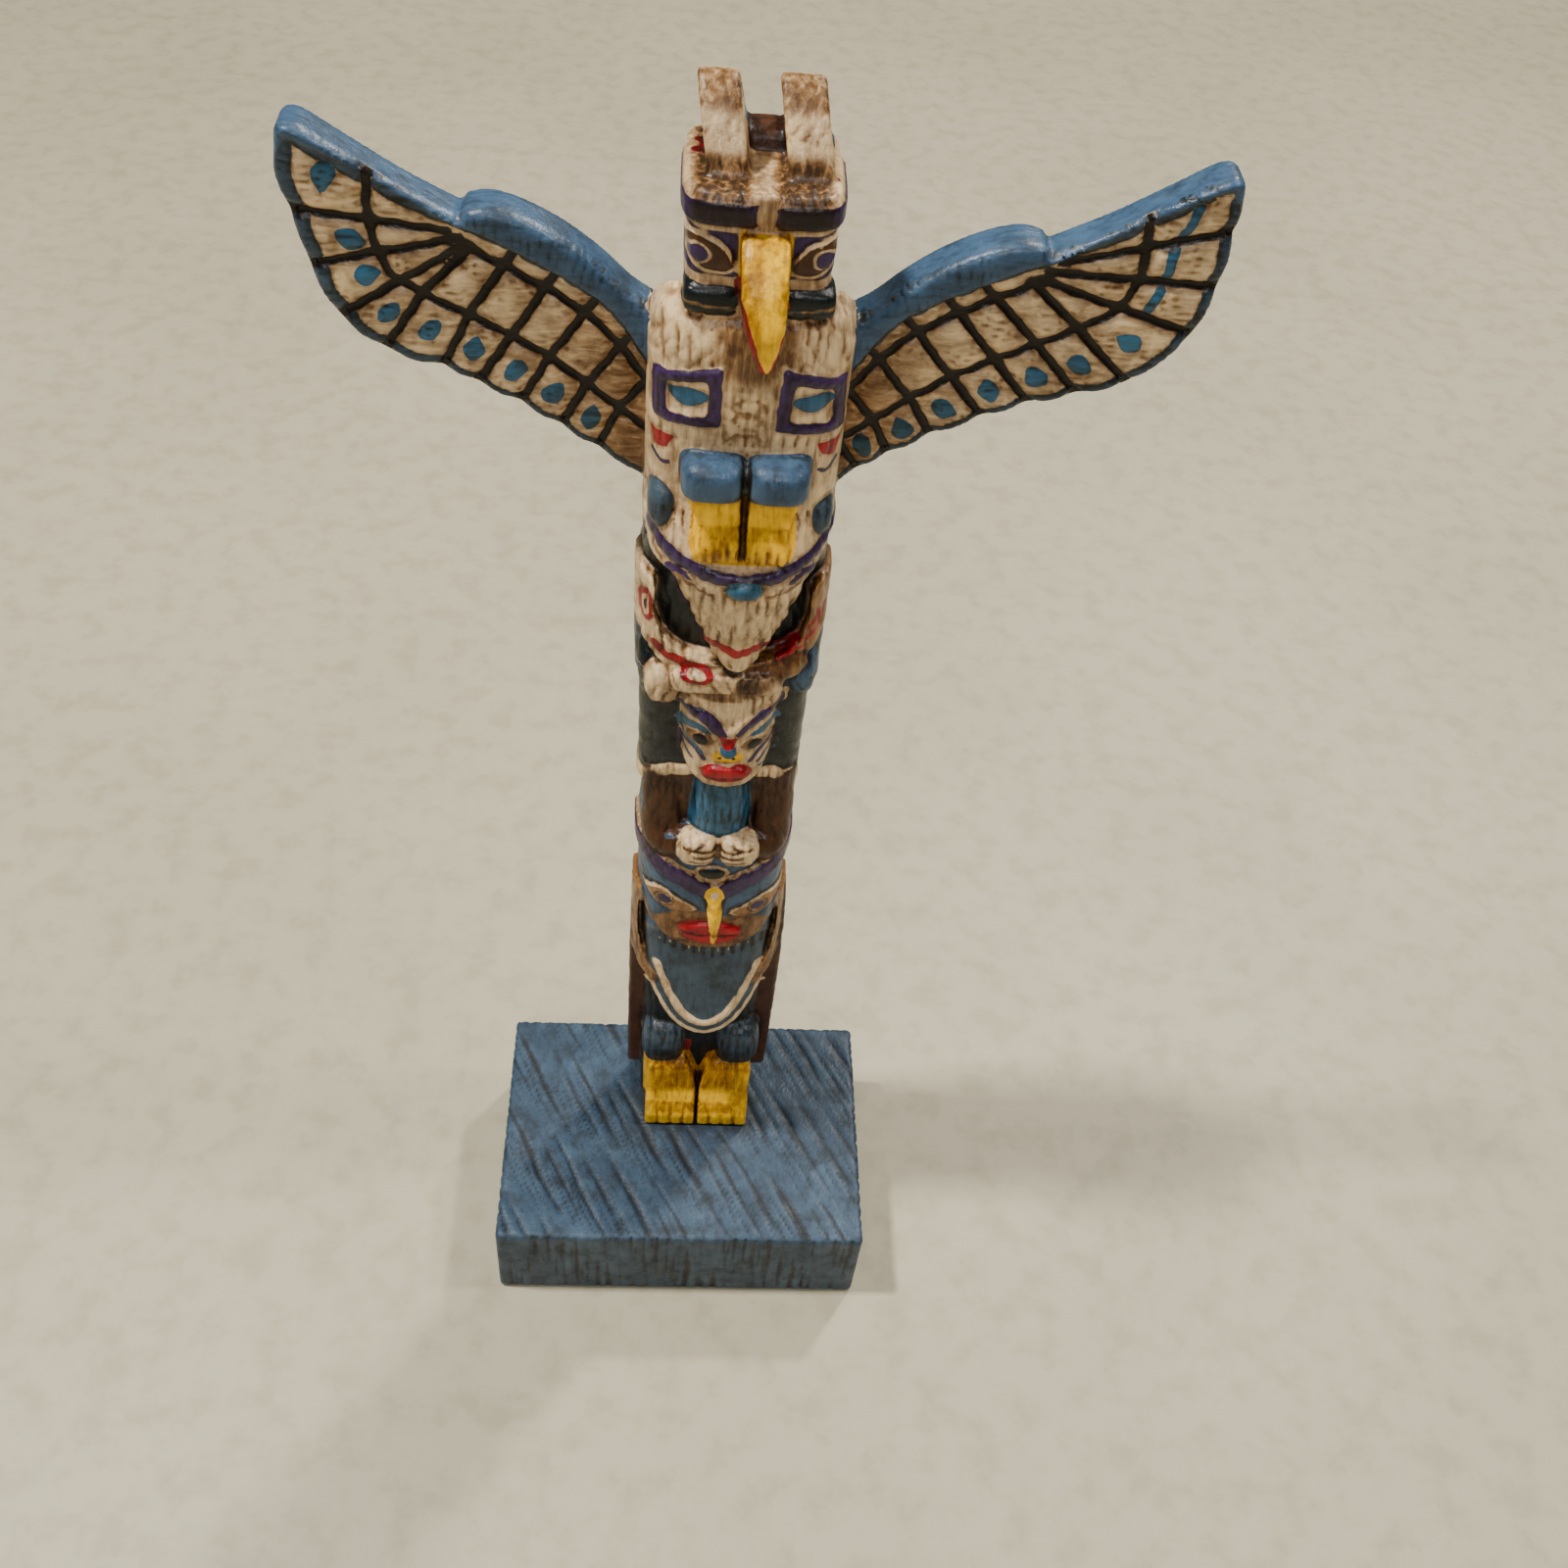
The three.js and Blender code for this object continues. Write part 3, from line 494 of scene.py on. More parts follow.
LEFT_FEATHERS = [
    [[40.6, 208.8], [61.8, 212.2]],
    [[39, 207.6], [61.4, 205.6]],
    [[38, 206.8], [58, 197.8]],
    [[37.4, 206.4], [44.8, 200.4], [51.6, 192.2]],
    [[32, 206], [37.6, 197.6], [42.8, 188.8]],
    [[26.6, 203.2], [32.6, 193.6], [37.6, 185.9]],
    [[21.4, 199.6], [27.4, 190.8], [31.8, 183]],
    [[17, 194], [22.4, 186.6], [26.2, 179.4]],
    [[14.4, 187.4], [18, 182.6], [21, 175.8]],
]


class Wing:
    """One spread wing: its side, how far it droops and is drawn in, its feather lines and its rim."""

    def __init__(self, side, droop, draw, feathers, rim):
        self.side, self.droop, self.draw, self.feathers, self.rim = side, droop, draw, feathers, rim

    def spread(self, points):
        p = np.array(points, float)
        out = np.maximum(0, p[:, 0] - WRIST) / (WING_REACH - WRIST)
        share = out * np.clip((TIP_TOP - p[:, 1]) / TIP_FALL, TIP_SHARE, 1)
        return np.stack([self.side * (p[:, 0] - share * self.draw), p[:, 1] - share * self.droop], 1)

    def outline(self):
        points = [*curve(LEADING, 4), *curve(OUTER_LEADING, 4)]
        start = np.array(OUTER_LEADING[-1])
        for line in [*self.feathers, [[0, 0], [WING_ROOT - 1, 170.6]]]:
            end = np.array(line[-1])
            bulge = (start + end) / 2 + np.array([start[1] - end[1], end[0] - start[0]]) * SCALLOP
            for t in (0.25, 0.5, 0.75, 1.0):
                points.append((1 - t) ** 2 * start + 2 * t * (1 - t) * bulge + t * t * end)
            start = end
        return self.spread(points)

    def forms(self):
        leading = self.spread(np.vstack([curve(LEADING, 4), curve(BAND, 4)[::-1]]))
        outer = self.spread(np.vstack([curve(OUTER_LEADING[:5], 4), curve(OUTER_BAND, 3)[::-1]]))
        rails = [plate(shape, -HALF_WING - BAND_RAISE, HALF_WING, 1.1) for shape in (leading, outer)]
        return [plate(self.outline(), -HALF_WING, HALF_WING, 1.0), *rails]


WINGS = [Wing(-1, 3.1, 3.1, LEFT_FEATHERS, 1.0), Wing(1, 0.0, 0.0, FEATHERS, 0.5)]
FORMS["wings"] = [form for wing in WINGS for form in wing.forms()]


# Distance grid and the mesh on its surface

STEP = 0.52
GRID_LOW = np.array([-64.4, -22.0, -1.6])
GRID_SIZE = (250, 68, 452)
MARGIN = 1.6
SOFT_JOIN = 0.7
SHARP_JOIN = 0.35
SHARP = {
    "beak", "small beak", "feet", "shins", "brows", "eyes", "frames", "bib line", "lips", "nose", "fists",
}


def fill_grid():
    """Distance to the surface at every grid point, with each form blended into the ones before it."""
    axes = [GRID_LOW[i] + STEP * np.arange(GRID_SIZE[i]) for i in range(3)]
    grid = np.full(GRID_SIZE, MARGIN, np.float32)
    for name, forms in FORMS.items():
        soft = SHARP_JOIN if name in SHARP else SOFT_JOIN
        for lo, hi, distance in forms:
            spans = [
                slice(*np.searchsorted(axes[i], [lo[i] - MARGIN, hi[i] + MARGIN])) for i in range(3)
            ]
            X = axes[0][spans[0]][:, None, None]
            Y = axes[1][spans[1]][None, :, None]
            Z = axes[2][spans[2]][None, None, :]
            d = np.clip(distance(X, Y, Z), -4, MARGIN)
            old = grid[tuple(spans)]
            h = np.clip(0.5 + 0.5 * (old - d) / soft, 0, 1)
            grid[tuple(spans)] = old + (d - old) * h - soft * h * (1 - h)
    return grid


def surface_net(grid):
    """Quads round every grid edge that the surface crosses, one point for each crossed cell."""
    inside = grid < 0
    cells = tuple(n - 1 for n in grid.shape)
    count = np.zeros(cells, np.int8)
    corners = [(i, j, k) for i in (0, 1) for j in (0, 1) for k in (0, 1)]
    for i, j, k in corners:
        count += inside[i:i + cells[0], j:j + cells[1], k:k + cells[2]]
    cell = np.argwhere((count > 0) & (count < 8))
    value = {c: grid[cell[:, 0] + c[0], cell[:, 1] + c[1], cell[:, 2] + c[2]] for c in corners}
    total = np.zeros((len(cell), 3))
    crossings = np.zeros(len(cell))
    for a in corners:
        for axis in range(3):
            if a[axis]:
                continue
            b = tuple(1 if i == axis else a[i] for i in range(3))
            crossed = (value[a] < 0) != (value[b] < 0)
            t = np.where(crossed, value[a] / np.where(crossed, value[a] - value[b], 1), 0)
            point = np.tile(np.array(a, float), (len(cell), 1))
            point[:, axis] += t
            total += point * crossed[:, None]
            crossings += crossed
    points = GRID_LOW + STEP * (cell + total / crossings[:, None])
    number = np.full(cells, -1, np.int32)
    number[tuple(cell.T)] = np.arange(len(cell))
    quads = []
    for axis in range(3):
        u, v = (axis + 1) % 3, (axis + 2) % 3
        ahead = [slice(1, -1)] * 3
        ahead[axis] = slice(1, None)
        behind = [slice(1, -1)] * 3
        behind[axis] = slice(0, -1)
        first, second = inside[tuple(behind)], inside[tuple(ahead)]
        for flip, mask in ((False, first & ~second), (True, ~first & second)):
            e = np.argwhere(mask)
            e[:, [u, v]] += 1
            ring = []
            for du, dv in ((0, 0), (-1, 0), (-1, -1), (0, -1)):
                c = e.copy()
                c[:, u] += du
                c[:, v] += dv
                ring.append(number[tuple(c.T)])
            quads.append(np.stack(ring[::-1] if flip else ring, 1))
    return points, np.vstack(quads)


def sample(grid, points):
    """Distance at points, read between grid values."""
    p = np.clip((points - GRID_LOW) / STEP, 0, np.array(grid.shape) - 1.001)
    i = p.astype(int)
    f = p - i
    total = 0
    for a in (0, 1):
        for b in (0, 1):
            for c in (0, 1):
                share = np.abs(1 - a - f[:, 0]) * np.abs(1 - b - f[:, 1]) * np.abs(1 - c - f[:, 2])
                total = total + share * grid[i[:, 0] + a, i[:, 1] + b, i[:, 2] + c]
    return total


# Carving and painting by area

PAINTS = ["tan", "brown", "steel", "slate", "teal", "turquoise", "purple", "red", "yellow", "dark", "cream"]


def wobble(u, v, seed=0.0):
    """Slow uneven drift of a hand-drawn line."""
    return (
        0.5 * np.sin(0.9 * u + 1.7 * v + seed) + 0.3 * np.sin(2.3 * u - 1.1 * v + 2.1 * seed + 1)
        + 0.2 * np.sin(3.9 * u + 3.1 * v + 0.7 * seed + 4)
    )


class Canvas:
    """Points of the carving with a height, a darkening that is partly brown wash and partly painted shade,
    and a signed distance for each paint.
    """

    def __init__(self, points, normals):
        self.points = points
        self.x = points[:, 0] + 0.14 * wobble(points[:, 0], points[:, 2], 1.0)
        self.y = points[:, 1]
        self.z = points[:, 2] + 0.14 * wobble(points[:, 2], points[:, 0], 2.0)
        self.normals = normals
        self.front = normals[:, 1] < 0.25
        self.height = np.zeros(len(points))
        self.wash_and_shade = np.zeros(len(points))
        self.paint = {name: np.full(len(points), FAR) for name in PAINTS}

    def near(self, box, zone=None, reach=FAR):
        left, right, low, high = box
        inside = (self.x > left - reach) & (self.x < right + reach)
        inside &= (self.z > low - reach) & (self.z < high + reach)
        inside &= self.front if zone is None else zone
        return np.flatnonzero(inside)

    def band(self, low, high):
        """Points between two heights, apart from the log's back."""
        z = self.points[:, 2]
        return (z > low) & (z < high) & (self.y < LOG_BACK)

    def lay(self, colour, index, d, cut=0.0):
        d = np.clip(d, -FAR, FAR)
        for name, layer in self.paint.items():
            if name == colour:
                layer[index] = np.minimum(layer[index], d)
            else:
                layer[index] = np.maximum(layer[index], -d)
        if cut:
            edge = np.exp(-((d - 0.15) / 0.42) ** 2)
            self.height[index] -= cut * edge
            self.wash_and_shade[index] = np.maximum(self.wash_and_shade[index], min(1, cut * 3) * edge)

    def shape(self, colour, shape, box, cut=0.0, lift=0.0, zone=None):
        index = self.near(box, zone)
        d = shape(self.x[index], self.z[index])
        self.lay(colour, index, d, cut)
        if lift:
            self.height[index] += lift * np.clip(0.5 - d / 0.5, 0, 1)

    def patch(self, colour, points, smooth=0, **how):
        points = curve([*points, points[0]], smooth)[:-1] if smooth else np.array(points)
        self.shape(colour, polygon(points), box_of(points), **how)

    def stroke(self, colour, points, width, smooth=4, **how):
        points = curve(points, smooth) if smooth else np.array(points)
        self.shape(colour, ribbon(points, width), box_of(points, width / 2), **how)

    def oval(self, colour, x, z, rx, rz, turn=0.0, **how):
        reach = max(rx, rz)
        self.shape(colour, oval(x, z, rx, rz, turn), (x - reach, x + reach, z - reach, z + reach), **how)

    def coat(self, colour, *names, spare=0.3, only=None, cut=0.0):
        """Paints whole forms."""
        for name in names:
            for lo, hi, distance in FORMS[name]:
                p = self.points
                inside = np.all((p > np.array(lo) - FAR) & (p < np.array(hi) + FAR), axis=1)
                if only is not None:
                    inside &= only
                index = np.flatnonzero(inside)
                d = distance(p[index, 0], p[index, 1], p[index, 2]) - spare
                self.lay(colour, index, d, cut)

    def dab(self, colour, centre, radius):
        d = np.linalg.norm(self.points - np.array(centre), axis=1) - radius
        index = np.flatnonzero(d < FAR)
        self.lay(colour, index, d[index])

    def stain_and_shade(self, box, wash_and_shade, zone=None):
        """Soft-edged patch of darkening: brown wash in some places, painted shade in others."""
        left, right, low, high = box
        index = self.near(box, zone, 0.0)
        u = np.abs(2 * self.x[index] - left - right) / (right - left)
        v = np.abs(2 * self.z[index] - low - high) / (high - low)
        share = wash_and_shade * np.clip(2.2 * (1 - np.maximum(u, v)), 0, 1)
        self.wash_and_shade[index] = np.maximum(self.wash_and_shade[index], share)

    def calm(self, points, keep=0.2):
        """Takes most of the earlier marks out of an area."""
        index = self.near(box_of(points))
        inside = index[polygon(points)(self.x[index], self.z[index]) < 0]
        self.wash_and_shade[inside] *= keep
        self.height[inside] *= keep

    def groove(self, points, width, depth, smooth=4, zone=None, wash_and_shade=1.0):
        points = curve(points, smooth) if smooth else np.array(points)
        index = self.near(box_of(points, width), zone)
        d = line_distance(points, self.x[index], self.z[index])
        share = np.exp(-((d / (width / 2)) ** 2))
        self.height[index] -= depth * share
        self.wash_and_shade[index] = np.maximum(self.wash_and_shade[index], wash_and_shade * share)

    def flutes(self, box, pitch, depth, lean=0.0, zone=None, wash_and_shade=0.6, seed=0.0):
        """Chisel marks side by side, upright or leaning."""
        index = self.near(box, zone, 0.0)
        u, v = self.x[index], self.z[index]
        across = u * np.cos(lean) + v * np.sin(lean) + 0.35 * wobble(0.5 * u, 0.22 * v, seed)
        wave = 0.5 + 0.5 * np.cos(2 * np.pi * across / pitch + 0.9 * np.sin(across * 0.83 + seed))
        share = wave**3 * np.clip(0.65 + 0.5 * wobble(0.31 * u, 0.45 * v, seed + 3), 0.1, 1)
        self.height[index] -= depth * share
        self.wash_and_shade[index] = np.maximum(self.wash_and_shade[index], wash_and_shade * share)


def draw_base_figure(c):
    c.coat("teal", "log", only=c.band(-5, 76))
    c.flutes((-13, 13, 20, 66), 1.7, 0.3, wash_and_shade=0.8, seed=2)
    c.patch("red", [[-3.8, 26], [-1.4, 26], [-1.4, 20.4], [-3.4, 21.2]], cut=0.1)
    c.coat("yellow", "feet", spare=0.9)
    for side in SIDES:
        for x in (3.0, 5.7, 8.4):
            c.groove(mirror([[x, 0], [x, 5.4]], side, MIDDLE), 0.8, 0.25, 0, wash_and_shade=0.6)
    c.flutes((-11, 12.4, 8, 21), 1.5, 0.12, wash_and_shade=0.5, seed=5)
    c.stain_and_shade((-12.4, 13.6, 9, 25), 0.5)
    # Painted shade on the upward ledges of the feet.
    c.stain_and_shade((-13, 14, 4, 8.6), 0.45)
    c.coat("slate", "knees", cut=0.1)
    c.flutes((-13, 13.6, 18, 33), 2.0, 0.2, wash_and_shade=0.6, seed=4)
    c.stain_and_shade((-14, 15, 17, 27), 0.6)
    c.coat("brown", "strips")
    for side in SIDES:
        outer = c.normals[:, 0] * side > 0.3
        c.flutes(side_box(side, 12, 17, 8, 74), 1.9, 0.2, wash_and_shade=0.9, zone=outer)
    c.coat("slate", "bib")
    c.calm(TONGUE, 0.3)
    outer_line = curve([
        [-13.2, 66], [-11.9, 56], [-9, 48.6], [-4.8, 41.9], [MIDDLE, 38.9],
        [6, 41.9], [10.2, 48.6], [13.1, 56], [14.2, 66],
    ], 4)
    c.stroke("cream", outer_line, 1.2, 0)
    inset = curve([
        [-11.4, 60], [-8.6, 51.2], [-4.9, 44.4], [MIDDLE, 40.8], [6.1, 44.4], [9.8, 51.2], [12.6, 60],
    ], 4)
    c.stroke("slate", inset, 0.8, 0)
    c.coat("cream", "bib line")
    c.patch("slate", [
        [-8.6, 60], [-8.1, 57], [-5.6, 50.4], [-2.8, 45.4], [MIDDLE, 43.2],
        [4, 45.4], [6.8, 50.4], [9.3, 57], [9.8, 60],
    ])
    for side in SIDES:
        c.stroke("cream", mirror([[12, 45.8], [9.4, 44.2], [8.2, 43.4]], side, MIDDLE), 1.1)


def draw_bird_face(c):
    c.coat("tan", "wing edges", cut=0.15)
    for side in SIDES:
        for shift in (-0.5, 0.7):
            c.groove([[side * (x + shift), z] for x, z in WING_EDGE], 0.7, 0.2, 0, wash_and_shade=0.6)
    c.coat("steel", "bird face")
    shield = curve([
        [-13.4, 79], [-12.6, 75.6], [-9.4, 70.6], [-5, 67.4], [MIDDLE, 66.3],
        [6.2, 67.4], [10.6, 69.6], [13.4, 74.6],
    ], 4)
    cheek = [
        [-10.4, 73.4], [-6.4, 77], [-2.1, 77.6], [3.5, 76.2], [7.3, 76], [11.2, 73],
        [10.4, 69.6], [5, 66.3], [MIDDLE, 65.7], [-4, 66.3], [-8.8, 68.8],
    ]
    c.patch("tan", cheek, 3, cut=0.12)
    c.stroke("tan", [[-10.4, 73.4], [-6.4, 77.1], [-2.1, 77.8], [3.5, 76.4], [7.3, 76.2], [11.2, 73]], 0.7)
    c.stroke("tan", shield, 0.8, 0, cut=0.1)
    c.stain_and_shade((-12, 13, 65, 79), 0.5)
    c.calm([[-6, 69], [-6, 75.6], [6.6, 75.6], [6.6, 69]], 0.1)
    c.patch("red", [
        [-6, 73.4], [-3.6, 75.2], [-0.3, 75.2], [4.1, 74.6], [6.5, 72.6],
        [6, 70], [2.2, 68.5], [-1.7, 68.9], [-4.8, 70.8],
    ], 3, cut=0.2)
    c.groove([[-5, 72.4], [-1.8, 71.6], [1, 71.8], [4, 71.4], [6, 71.8]], 0.6, 0.35)
    for i in range(11):
        x = -9 + 1.9 * i
        c.stroke("cream", [[x, 65.6 - 0.06 * abs(i - 5)], [x + 0.15, 62.6 + 0.5 * abs(i - 5)]], 0.35, 0)
        c.groove([[x + 0.9, 66.2], [x + 1, 61.6 + 0.5 * abs(i - 5)]], 0.8, 0.3, 0)
    for points in BIRD_EYES:
        c.patch("cream", points, 3, cut=0.2)
        c.patch("tan", shrunk(points, 0.82), 3)
    for x, z in ((-8.5, 81), (9, 79.6)):
        c.oval("brown", x, z, 2.1, 1.8)
        c.oval("tan", x, z, 1.75, 1.5)
        c.oval("purple", x, z, 1.35, 1.2, cut=0.1)
    c.stroke("cream", BIRD_BROW, 5.2, 0, cut=0.15)
    c.stroke("purple", BIRD_BROW, 4.0, 0, cut=0.15)
    c.flutes((-14, 15, 83, 95), 1.3, 0.12, lean=0.5, wash_and_shade=0.3, seed=7)
    c.oval("cream", 0.6, 87, 0.8, 0.7)
    c.coat("yellow", "small beak", spare=0.4)
    # Painted highlight: a cream spot on top of the small beak's root.
    c.oval("cream", 0.7, 85, 0.9, 0.7)
    c.oval("cream", -0.1, 90, 3.2, 2.4, cut=0.12)
    c.oval("teal", -0.1, 90.3, 2.5, 1.7, cut=0.15)


def draw_human(c):
    c.coat("brown", "arms", "log", only=c.band(91, 112.5))
    for side in SIDES:
        zone = c.front & (c.normals[:, 0] * side > -0.4)
        box = side_box(side, 6.5, 15, 90, 111)
        c.flutes(box, 1.9, 0.2, lean=side * 0.35, wash_and_shade=0.7, seed=side, zone=zone)
    c.coat("turquoise", "torso")
    c.flutes((-6.4, 7.4, 97, 114), 1.55, 0.3, wash_and_shade=0.6, seed=1)
    # Painted shade: the torso darker at its top, under the chin.
    c.stain_and_shade((-7, 8, 106, 118), 0.3)
    c.coat("cream", "fists", cut=0.15)
    for side in SIDES:
        for k in range(3):
            z = 94.8 + 1.5 * k
            c.groove(mirror([[0.4, z + 0.2], [2.4, z], [4.6, z + 0.5]], side, MIDDLE), 0.6, 0.35)
        c.groove(mirror([[2.6, 99.4], [4.4, 98.2], [6, 98.6]], side, MIDDLE), 0.6, 0.2)
    c.coat("teal", "cape")
    for side in SIDES:
        c.flutes(side_box(side, 8, 15, 112, 137), 2.6, 0.3, lean=side * 0.5, wash_and_shade=0.8, seed=side)
    c.coat("cream", "hem", cut=0.12)
    c.flutes((-15.5, 15.5, 103, 115), 1.3, 0.15, wash_and_shade=0.8, seed=6)


def draw_human_face(c):
    c.coat("cream", "face", cut=0.1)
    c.flutes((-7.6, 8.8, 130, 137), 1.5, 0.2, wash_and_shade=0.8)
    jaw_line = curve([
        [-8, 124.6], [-7.6, 120], [-5.9, 116.7], [-3, 114.9], [MIDDLE, 114.2],
        [4.2, 114.9], [7.1, 116.7], [8.8, 120], [9.2, 124.6],
    ], 4)
    c.groove(jaw_line, 0.8, 0.2, 0, wash_and_shade=0.7)
    brows = (
        [
            [-8.2, 132.2], [-4.5, 133.4], [-1.3, 131.4], [0.7, 127.9],
            [0.1, 126.9], [-2.6, 128.9], [-4.9, 130.6], [-8, 129.8],
        ],
        [
            [1.6, 127.2], [2.6, 129.6], [5.8, 133.2], [9.6, 132.8],
            [9.6, 130.2], [6.2, 130.6], [3.5, 128.2], [2, 126.8],
        ],
    )
    for points in brows:
        middle = np.mean(points, axis=0)
        c.patch("cream", middle + (np.array(points) - middle) * [1.1, 1.25], 3)
        c.patch("purple", points, 3, cut=0.15)
    lids = (
        [
            [-8.2, 126], [-7, 128.2], [-5, 129.2], [-3, 128.6],
            [-1.9, 127.2], [-4.4, 127.9], [-6.4, 126.8], [-7.4, 124.8],
        ],
        [[4.1, 127.2], [6.1, 128.6], [9.2, 128.2], [9.4, 126.6], [6.4, 127.4]],
    )
    for points in lids:
        c.patch("turquoise", points, 2, cut=0.12)
    for x, z in ((-3.9, 126), (5.4, 125.2)):
        c.oval("tan", x, z, 2.4, 1.6, cut=0.12)
        c.oval("dark", x, z, 1.35, 1.35, cut=0.1)
    marks = (
        ("purple", [[-8, 122.6], [-6.6, 123.6], [-4.8, 123.2], [-3, 121.2]], 0.9),
        ("purple", [[-8, 121.2], [-6.6, 121.8], [-5.2, 120.6]], 0.7),
        ("purple", [[-7, 122.4], [-7.4, 119.4], [-6.2, 116.8]], 0.6),
        ("turquoise", [[-8.2, 124.6], [-6.6, 124.8], [-5, 123.9], [-3.4, 122.4]], 0.7),
        ("purple", [[9.4, 123], [7.8, 123.6], [6, 122.6], [4.8, 121]], 0.9),
        ("purple", [[9.4, 121], [7.8, 121.6], [6.2, 120.2]], 0.8),
        ("turquoise", [[9.2, 119.4], [7.8, 118.6], [6.6, 119]], 0.6),
    )
    for colour, points, width in marks:
        c.stroke(colour, points, width, cut=0.1)
    c.patch("red", [
        [-3.8, 118.8], [-1.6, 120.6], [1, 120.3], [3.4, 120.6], [5.3, 118.6], [3.4, 116.4], [-2.2, 116.4],
    ], 3, cut=0.1)
    c.groove([[-3.1, 118.1], [MIDDLE, 117.8], [4.5, 118]], 0.5, 0.2)
    nostrils = [[-1, 123.6], [2.8, 123.6], [3.6, 121.4], [MIDDLE + 0.2, 120.8], [-1.8, 121.5]]
    c.patch("yellow", nostrils, 2, cut=0.1)
    for x in (-0.4, 2):
        c.oval("dark", x, 121.9, 0.4, 0.35)
    c.patch("turquoise", [[-0.5, 126.1], [2.3, 126.1], [2.2, 123.2], [0.9, 122.4], [-0.4, 123.2]], 2, cut=0.1)
    c.patch("red", [[-1.4, 128], [1, 127.5], [3, 128], [1.8, 125.8], [0, 125.8]], cut=0.1)


def draw_creature(c):
    c.coat("teal", "creature", only=c.points[:, 2] < 165)
    for side in SIDES:
        c.flutes(side_box(side, 4, 14, 142, 164), 1.9, 0.3, lean=side * 0.15, wash_and_shade=0.6, seed=side)
    c.coat("slate", "side plates")
    for side in SIDES:
        outer = c.normals[:, 0] * side > 0.2
        c.flutes(side_box(side, 11, 16, 133, 158), 2.4, 0.3, wash_and_shade=0.6, zone=outer)
    c.coat("cream", "fins", only=c.points[:, 0] < 2, cut=0.15)
    c.coat("tan", "fins", only=c.points[:, 0] >= 2, cut=0.15)
    c.flutes((-15.4, 15.4, 138, 156), 2.2, 0.1, lean=0.6, wash_and_shade=0.35, seed=4)
    c.oval("red", -13.6, 150.8, 1.3, 3.1, cut=0.15)
    c.oval("cream", -13.6, 150.8, 0.7, 2.1)
    c.oval("brown", -13.6, 150.8, 0.25, 1.0)
    c.stroke("red", [[-12, 144], [-10.4, 142.8], [-8.2, 142.4], [-6.4, 141.4]], 1.6, cut=0.1)
    c.stroke("red", [[14.4, 150.6], [13.2, 147.8], [11, 145.5], [8, 143.6]], 2.0, cut=0.1)
    c.stroke("tan", [[13.6, 149], [12.6, 147.2], [10.8, 145.5]], 0.7)
    c.coat("cream", "bar", cut=0.15)
    c.flutes((-9, 9, 135.8, 141.4), 1.9, 0.14, lean=0.5, wash_and_shade=0.7)
    # Darker along the bar's underside: brown wash with painted shade.
    c.stain_and_shade((-10, 4, 134.8, 137.6), 0.7)
    c.oval("red", -5, 140.6, 2.6, 1.6, -0.1, cut=0.15)
    c.oval("cream", -5, 140.6, 1.5, 0.8, -0.1)
    c.coat("steel", "cuffs", cut=0.15)
    c.coat("teal", "cuffs", only=(c.points[:, 0] < 0) & (c.points[:, 2] > 138))
    c.coat("cream", "left paw", cut=0.2)
    # Darker along the left paw's underside: painted shade with brown wash.
    c.stain_and_shade((-13.6, -7, 130.4, 133.6), 0.6)
    c.coat("tan", "right paw", cut=0.25)
    for k in range(3):
        c.groove([[2.4 + 1.1 * k, 136.6], [1.8 + 1.3 * k, 139.4], [3 + 1.3 * k, 141.2]], 0.6, 0.3)


def draw_muzzle(c):
    c.coat("cream", "muzzle", "forehead")
    c.flutes((-12, 13, 143, 161), 1.75, 0.35, wash_and_shade=0.8, seed=3)
    c.flutes((-14, 14.6, 163.6, 173), 1.4, 0.25, wash_and_shade=0.8, seed=8)
    rim_line = [
        [-14.6, 167.8], [-12.3, 166.8], [-8, 165], [-3.6, 163.9], [1, 163.6],
        [5.2, 164], [9.4, 165.2], [13, 166.8], [15, 167.8],
    ]
    c.stroke("purple", rim_line, 2.5, cut=0.15)
    for s in SIDES:
        c.stroke("tan", mirror([[13, 164.6], [9, 160.4], [4.4, 160]], s, MIDDLE), 0.8)
        c.oval("cream", s * 9.2 + MIDDLE, 162.2, 2.9, 1.5, s * 0.4, cut=0.15)
        c.oval("purple", s * 9.4 + MIDDLE, 162.4, 2.2, 1.2, s * 0.4, cut=0.12)
        c.oval("tan", s * 9.2 + MIDDLE, 162.3, 1.0, 0.45, s * 0.4)
    c.stroke("purple", [[-9.4, 156.2], [-6.8, 151.8], [-4.6, 148.6]], 0.8, cut=0.1)
    c.coat("turquoise", "muzzle nose", cut=0.2)
    c.oval("turquoise", 1.2, 161.6, 3.2, 1.7, cut=0.2)
    c.stroke("cream", [[-6.6, 159.6], [-2, 158.9], [2, 158.8], [7.4, 159.6]], 0.8)
    mouth = [[-4.2, 147.5], [-2.4, 148.3], [-0.6, 147.6], [1, 146.6], [2.4, 147.2], [4, 147.9], [5.9, 147.6]]
    c.stroke("red", mouth, 1.7, cut=0.1)


